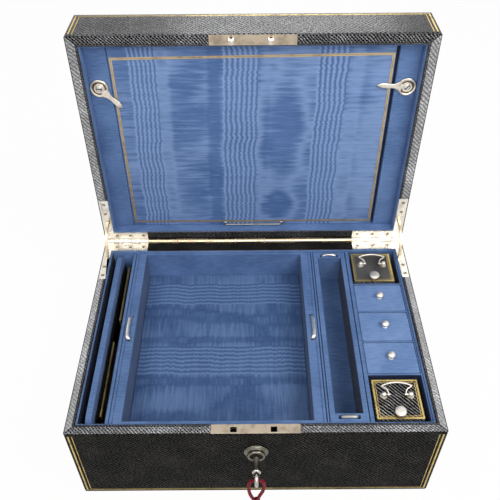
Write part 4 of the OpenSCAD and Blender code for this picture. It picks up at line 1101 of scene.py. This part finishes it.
tray_floor("main_tray", (12.2, 2.7), 2.0, 1.2, 1.6, 0.6, "tray_silk")
tray_floor("pen_tray", (5.3, 10.2), 0.5, 0.4, 0.6, 0.3, "silk_blue")


# Gilt borders on the little cases' lids

CASE_EDGE = 0.35
for case_name in ("ink", "lights"):
    case_low, case_high = mm(case_name + "_case_lid")
    case_borders = []
    for border_inset, border_width, border_rise in ((CASE_EDGE, 1.8, 0.12), (CASE_EDGE + 2.9, 0.6, 0.08)):
        case_borders.append(flat_frame(
            case_low[0] + border_inset, case_high[0] - border_inset, case_low[1] + border_inset,
            case_low[1] + CASE_DEPTH - border_inset, border_width, CASE_TOP - 0.1, CASE_TOP + border_rise))
    piece(case_name + "_case_border", case_borders, "tooled_gold", case_name + "_top", 30)


# Screws, levers and posts


def slotted_head(centre, across, up, radius, height, slot):
    """A domed screw head cut by a slot of the given half width: two D shapes side by side.
    Each ring of a D is the circle's arc beyond the slot's edge, and rings shrink as the dome's
    height h grows, to radius * sqrt(1 - (h / height)^2)."""
    along = np.cross(up, across)
    high = np.linspace(0, 0.985, 6)
    reach = np.r_[radius, radius * (1 - high**2) ** 0.5]
    level = np.r_[-0.3, high * height]
    start = np.arcsin(np.clip(slot / reach, 0, 0.98))[:, None]
    turn = start + np.linspace(0, 1, 15) * (np.pi - 2 * start)
    a, b = (reach[:, None] * v for v in (np.cos(turn), np.sin(turn)))
    return [tube(centre + a[..., None] * across + side * b[..., None] * along + level[:, None, None] * up)
            for side in (-1, 1)]


def loose_parts(node):
    """The points of each separate solid of a CAD node, in millimetres."""
    bm = bmesh.new()
    bm.from_mesh(frame["nodes"][node].data)
    bmesh.ops.remove_doubles(bm, verts=bm.verts, dist=MERGE)
    seen, found = set(), []
    for start in bm.verts:
        if start in seen:
            continue
        seen.add(start)
        waiting, solid = [start], []
        while waiting:
            vert = waiting.pop()
            solid.append(tuple(vert.co))
            for edge in vert.link_edges:
                other = edge.other_vert(vert)
                if other not in seen:
                    seen.add(other)
                    waiting.append(other)
        found.append(np.array(solid) * 1000)
    bm.free()
    return found


def screws(node, up, height, material):
    """Slotted heads on shanks, at the places and of the sizes of a CAD node's screws. Each
    slot is turned 0.9 radian further than the last."""
    up = np.asarray(up, float)
    level = np.array([1.0, 0, 0])
    heads, shanks = [], []
    for k, solid in enumerate(loose_parts(node)):
        high = solid @ up
        top, bottom = high.max(), high.min()
        middle = solid.mean(0)
        middle = middle - (middle @ up) * up
        wide = np.linalg.norm(solid - middle - high[:, None] * up, axis=1).max()
        across = math.cos(0.9 * k) * level + math.sin(0.9 * k) * np.cross(up, level)
        heads += slotted_head(middle + (top - height) * up, across, up, wide, height, wide * 0.16)
        shank = [(wide * 0.2, bottom), (wide * 0.45, bottom + 0.4), (wide * 0.45, top - height),
                 (wide * 0.9, top - height * 0.9), (wide * 0.9, top - height * 0.7)]
        shanks.append(lathe(shank, middle, up, 20))
    # The shanks are near-black: painted shade at the bottom of the heads' slots
    piece(node + "_shanks", shanks, "black_tarnish", BODY_OF[node], 40)
    remade(node, heads, material, 40)


screws("base_screws", (0, 0, 1), 0.5, "gilt_dull")
screws("lid_screws", LID_OUT, 0.5, "gilt_dull")
screws("turnbuckle_posts", LID_OUT, 0.9, "old_silver")

LEVER_BACK = 11.2
LEVER_THICK = 1.8
LEVER_SHORT = 0.3
DISC_R = 10.0
GROOVE_DEEP, GROOVE_R, GROOVE_WIDE = 0.75, 6.85, 1.5
GROOVE_CLOSES = 0.1
GROOVE_STOP, GROOVE_FADE, GROOVE_START = 0.28, 0.2, 0.36
TIP_FALL = 3.0
# The disc's radius and rise, and the share of the groove's depth there
DISC = [(1.8, 0, 0), (9.6, 0, 0), (10, 0.3, 0), (10, 1.2, 0), (9.7, 1.6, 0), (9.1, 1.78, 0), (8.3, 1.8, 0),
        (7.9, 1.78, 0.5), (7.7, 1.8, 1), (6.9, 1.8, 1), (6.1, 1.8, 1), (5.9, 1.78, 0.5), (5.5, 1.8, 0),
        (4.2, 1.85, 0), (3.6, 1.8, 0), (3.4, 1.5, 0), (1.8, 1.5, 0)]
# Shares of the tail's length, and its half width there as a share of the disc's radius
TAIL = [(0.19, 0.76), (0.29, 0.52), (0.35, 0.38), (0.43, 0.28), (0.51, 0.245), (0.60, 0.25), (0.71, 0.28),
        (0.83, 0.29), (0.905, 0.23), (0.965, 0.13), (1.0, 0.03)]


def lever(node, pivot):
    """A turn lever: a disc with a sunk ring that stops short of the tail and closes in on the
    middle by a tenth as it goes round, and a tail whose width follows the given shares of the
    disc's radius."""
    verts = np.array([v.co for v in frame["nodes"][node].data.vertices], float) * 1000
    seen = points(verts[:, 0], (verts[:, 2] - HINGE_Z) * LID_SIN - (verts[:, 1] - BACK) * LID_COS) - pivot
    tip = seen[np.argmax(np.hypot(seen[:, 0], seen[:, 1]))]
    length = np.hypot(*tip) - LEVER_SHORT
    aim = tip / np.hypot(*tip)
    cross = np.array([-aim[1], aim[0]])

    def place(p):
        return lid_place(raised(pivot + p[..., :1] * aim + p[..., 1:2] * cross, LEVER_BACK - p[..., 2]))

    turn = full_turn(72)
    off = np.abs((turn + np.pi) % (2 * np.pi) - np.pi)
    open_share = np.clip((off - GROOVE_STOP) / GROOVE_FADE, 0, 1)
    r, rise, groove = np.array(DISC).T[..., None]
    reach = r * np.where((r > 5) & (r < 8.1), 1 - GROOVE_CLOSES * turn / (2 * np.pi), 1.0)
    height = rise - GROOVE_DEEP * groove * open_share
    disc = tube(place(raised(polar(reach, turn), height)), True)
    far, wide = np.array(TAIL).T * np.array([[length], [DISC_R * 2]])
    fine = np.linspace(far[0], far[-1], 40)
    fall = np.clip((length - fine) / TIP_FALL, 0.15, 1) ** 0.5
    tail = sweep(place(points(fine, 0.0, LEVER_THICK / 2)), LID_OUT, np.interp(fine, far, wide),
                 LEVER_THICK * (0.55 + 0.42 * fall), 2.6, 24)
    round_turn = np.linspace(GROOVE_START, 2 * np.pi - GROOVE_START, 70)
    ring_r = GROOVE_R * (1 - GROOVE_CLOSES * round_turn / (2 * np.pi))
    ring = place(raised(polar(ring_r, round_turn), LEVER_THICK - GROOVE_DEEP + 0.01))
    piece(node + "_groove", [sweep(ring, LID_OUT, GROOVE_WIDE, 0.16, 4.0, 12)], "groove_brown", BODY_OF[node],
          40)
    remade(node, [disc, tail], "gilt_pale", 40)


lever("turnbuckle_left", np.array([-161.3, 205.8]))
lever("turnbuckle_right", np.array([161.3, 205.4]))


# Lock nozzle and key

BOW_R, BOW_ROD = 5.6, 1.9
NOZZLE = [(6.5, -2.3), (7.7, -2.3), (7.7, 0), (12.0, 0), (12.2, 0.3), (12.2, 0.9), (11.9, 1.3),
          (11.4, 1.4), (11.2, 1.15), (10.7, 1.15), (10.4, 1.7), (9.8, 2.2), (9.2, 2.4), (9.0, 2.8),
          (9.05, 3.3), (8.7, 3.5), (8.7, 3.9), (9.05, 4.1), (9.0, 5.2), (8.7, 6.0), (8.1, 6.5), (7.4, 6.5),
          (6.9, 6.25), (6.5, 5.6)]
SHANK = [(2.0, -26.0), (2.9, -25.6), (3.1, -24.6), (2.9, -23.6), (3.4, -23.2), (4.3, -22.6), (4.5, -21.7),
         (4.3, -20.8), (3.4, -20.2), (3.0, -19.6), (3.1, -12), (3.1, -4), (3.0, 1.6), (2.6, 2.0), (1.7, 2.0),
         (1.6, -3)]
nozzle = lathe(NOZZLE, (KEY_X, FRONT, KEY_Z), (0, -1, 0), 64, True)
remade("lock_nozzle", [nozzle], "nozzle_metal", 50)
bow_turn = full_turn(64)
bow_out = points(0.0, np.cos(bow_turn), np.sin(bow_turn))
bow = closed_rod(np.array([KEY_X, BOW_Y, KEY_Z]) + BOW_R * bow_out, bow_out, (1.0, 0, 0), BOW_ROD, 18)
shank = lathe(SHANK, (KEY_X, FRONT, KEY_Z), (0, 1, 0), 40)
bit = pad((KEY_X - 0.8, -136.0, 83.0), (KEY_X + 0.8, -132.5, 88.1), 0.3, 0.4)
remade("key", [bow, shank, bit], "key_metal", 45)


# Lifting loops of the trays and bails of the little cases

LOOP_STRAIGHT = 108.0
LOOP_THICK = 2.0


def loop_rod(node, lean, wide, material):
    """A rounded strap that comes up out of the tray's edge, bends over and goes down again;
    its middle leans over by the given amount."""
    low, high = mm(node)
    size, middle = high - low, (low + high) / 2
    long_axis = 1 if size[1] > size[0] else 0
    leg = size[long_axis] / 2 - 1.2
    top = high[2] - 0.8
    rising = [(leg, low[2] + 0.2, 0), (leg, LOOP_STRAIGHT, 0), (leg - 0.1, top - 3.4, 0),
              (leg - 1.2, top - 1.2, 0.5), (leg - 4, top - 0.3, 0.85)]
    route = [(-x, z, share) for x, z, share in rising] + [(0, top, 1)] + rising[::-1]
    fine = smooth_path(route, 90)
    side = middle[1 - long_axis] + lean * fine[:, 2]
    along = middle[long_axis] + fine[:, 0]
    path = points(side, along, fine[:, 1]) if long_axis else points(along, side, fine[:, 1])
    rod = sweep(path, (1.0, 0, 0) if long_axis else (0, 1.0, 0), LOOP_THICK, wide, 2.4, 20)
    remade(node, [rod], material, 45)


loop_rod("tray_loop_left", -2.0, 4.0, "old_silver")
loop_rod("tray_loop_right", 2.0, 4.0, "old_silver")
# The front pen loop gets the darker silver: painted shade of the recess it stands in
loop_rod("pen_loop_front", -0.6, 3.4, "dark_silver")
loop_rod("pen_loop_rear", 0.6, 3.4, "old_silver")

BAIL_AXIS = 3.2
BAIL_LEAN = math.radians(20)
BAIL_R, BAIL_REACH, BAIL_HORN = 34.0, 12.2, 15.2
BAIL_HOOK = [(15.2, 8.75), (13.4, 7.3), (11.0, 5.9), (9.6, 4.2), (8.9, 2.2), (8.6, 0.4)]
BAIL_KNUCKLE = [(0.8, -1.2), (1.4, -1.2), (1.4, 1.2), (0.8, 1.2)]


def bail(node, stud_y):
    """A drop handle: an arch, part of a circle, that has the width
    2.1 - 0.6 (angle / half angle)^2, with a hook at each end that turns in to a bored knuckle
    on the stud's pin."""
    centre = np.array([CASE_X, stud_y, CASE_TOP + BAIL_AXIS])
    c, s = math.cos(BAIL_LEAN), math.sin(BAIL_LEAN)

    def rod(flat, width, thick):
        path = centre + points(flat[:, 0], flat[:, 1] * c, flat[:, 1] * s)
        return sweep(path, (0, -s, c), width, thick, 2.2, 16)

    half = math.asin(BAIL_HORN / BAIL_R)
    turn = np.linspace(-half, half, 60)
    arch = points(BAIL_R * np.sin(turn), BAIL_R * np.cos(turn) + BAIL_REACH - BAIL_R)
    parts = [rod(arch, 2.1 - 0.6 * (turn / half) ** 2, 1.5)]
    for side in (-1, 1):
        parts.append(rod(smooth_path(BAIL_HOOK, 40) * np.array([side, 1]), 1.5, 1.4))
        pin = centre + np.array([side * BAIL_HOOK[-1][0], 0, 0])
        parts.append(lathe(BAIL_KNUCKLE, pin, (1, 0, 0), 24, True))
    remade(node, parts, "bail_silver", 45)


bail("ink_bail", -93.28)
bail("lights_bail", 89.92)


# The folded wallet in the slot

wallet_low, wallet_high = mm("wallet")
wx0, wy0, wz0 = wallet_low
wx1, wy1, wz1 = wallet_high
piece("wallet_covers", [pad(low, high, 0.5, 0.6) for low, high in (
    ((wx0, wy0, wz0), (wx0 + 1.5, wy1, wz1)), ((wx1 - 1.5, wy0, wz0), (wx1, wy1, wz1)),
    ((wx0 + 1.2, wy0 + 1, wz0), (wx1 - 1.2, wy1 - 1, wz0 + 4)))],
      "wallet_leather", "wallet_body", 40, ["wallet"])
piece("wallet_leaves", [pad((wx1 - 4.6, 18, wz0 + 3.6), (wx1 - 1.8, 103, wz1 - 0.8), 0.5, 0.6, 0.4),
                        pad((wx0 + 2.0, -106, wz0 + 3.6), (wx0 + 4.2, -12, wz1 - 1.4), 0.5, 0.6, 0.4)],
      "gilt_leaves", "wallet_body", 40)


# Floor, light and white surroundings

FLOOR_REACH = 6.0
FLOOR_WHITE = 0.97
SURROUND = 0.14
LAMPS = (("lamp_left", (-0.7, -0.5, 1.35), 0.7, 5.5), ("lamp_right", (0.62, -0.42, 1.0), 0.6, 6.2),
         ("lamp_front", (0.15, -1.4, 1.1), 0.8, 6.5), ("lamp_back", (0.1, 1.15, 1.0), 0.6, 5.0))


def seen_share(tree):
    """One for rays that come straight from the camera, from metal or through glass, else zero."""
    path = put(tree, "LightPath")
    metal_too = path["Is Camera Ray"].math("MAXIMUM", path["Is Glossy Ray"])
    return metal_too.math("MAXIMUM", path["Is Transmission Ray"])


def make_stage():
    """A plain pale floor, four soft lamps and an even white surround. Floor and surround are
    plain white wherever they are seen directly, in metal or through glass."""
    far = FLOOR_REACH
    mesh = bpy.data.meshes.new("floor")
    mesh.from_pydata([(-far, -far, 0), (far, -far, 0), (far, far, 0), (-far, far, 0)], [], [(0, 1, 2, 3)])
    made, _ = start_material("pale_floor", Roughness=0.9, Specular_IOR_Level=0.1,
                             Base_Color=(0.92, 0.92, 0.92))
    tree = made.node_tree
    lit = Value(tree, tree.nodes["Principled BSDF"].outputs[0])
    glow = put(tree, "Emission", {"Color": WHITE, "Strength": 1.0})[0]
    mixed = put(tree, "MixShader", {0: seen_share(tree) * FLOOR_WHITE, 1: lit, 2: glow})[0]
    feed(tree.nodes["Material Output"].inputs[0], mixed)
    mesh.materials.append(made)
    add_object("floor", mesh)
    world = bpy.data.worlds.new("surround")
    bpy.context.scene.world = world
    world.use_nodes = True
    ground = world.node_tree.nodes["Background"]
    feed(ground.inputs["Color"], WHITE)
    feed(ground.inputs["Strength"], seen_share(world.node_tree) * (1 - SURROUND) + SURROUND)
    for name, spot, size, power in LAMPS:
        data = bpy.data.lights.new(name, "AREA")
        data.size = size
        data.energy = power
        lamp = add_object(name, data)
        lamp.location = spot
        lamp.rotation_euler = (Vector((0, 0, 0.15)) - Vector(spot)).to_track_quat("-Z", "Y").to_euler()


make_stage()
bpy.context.scene.view_settings.view_transform = "Standard"
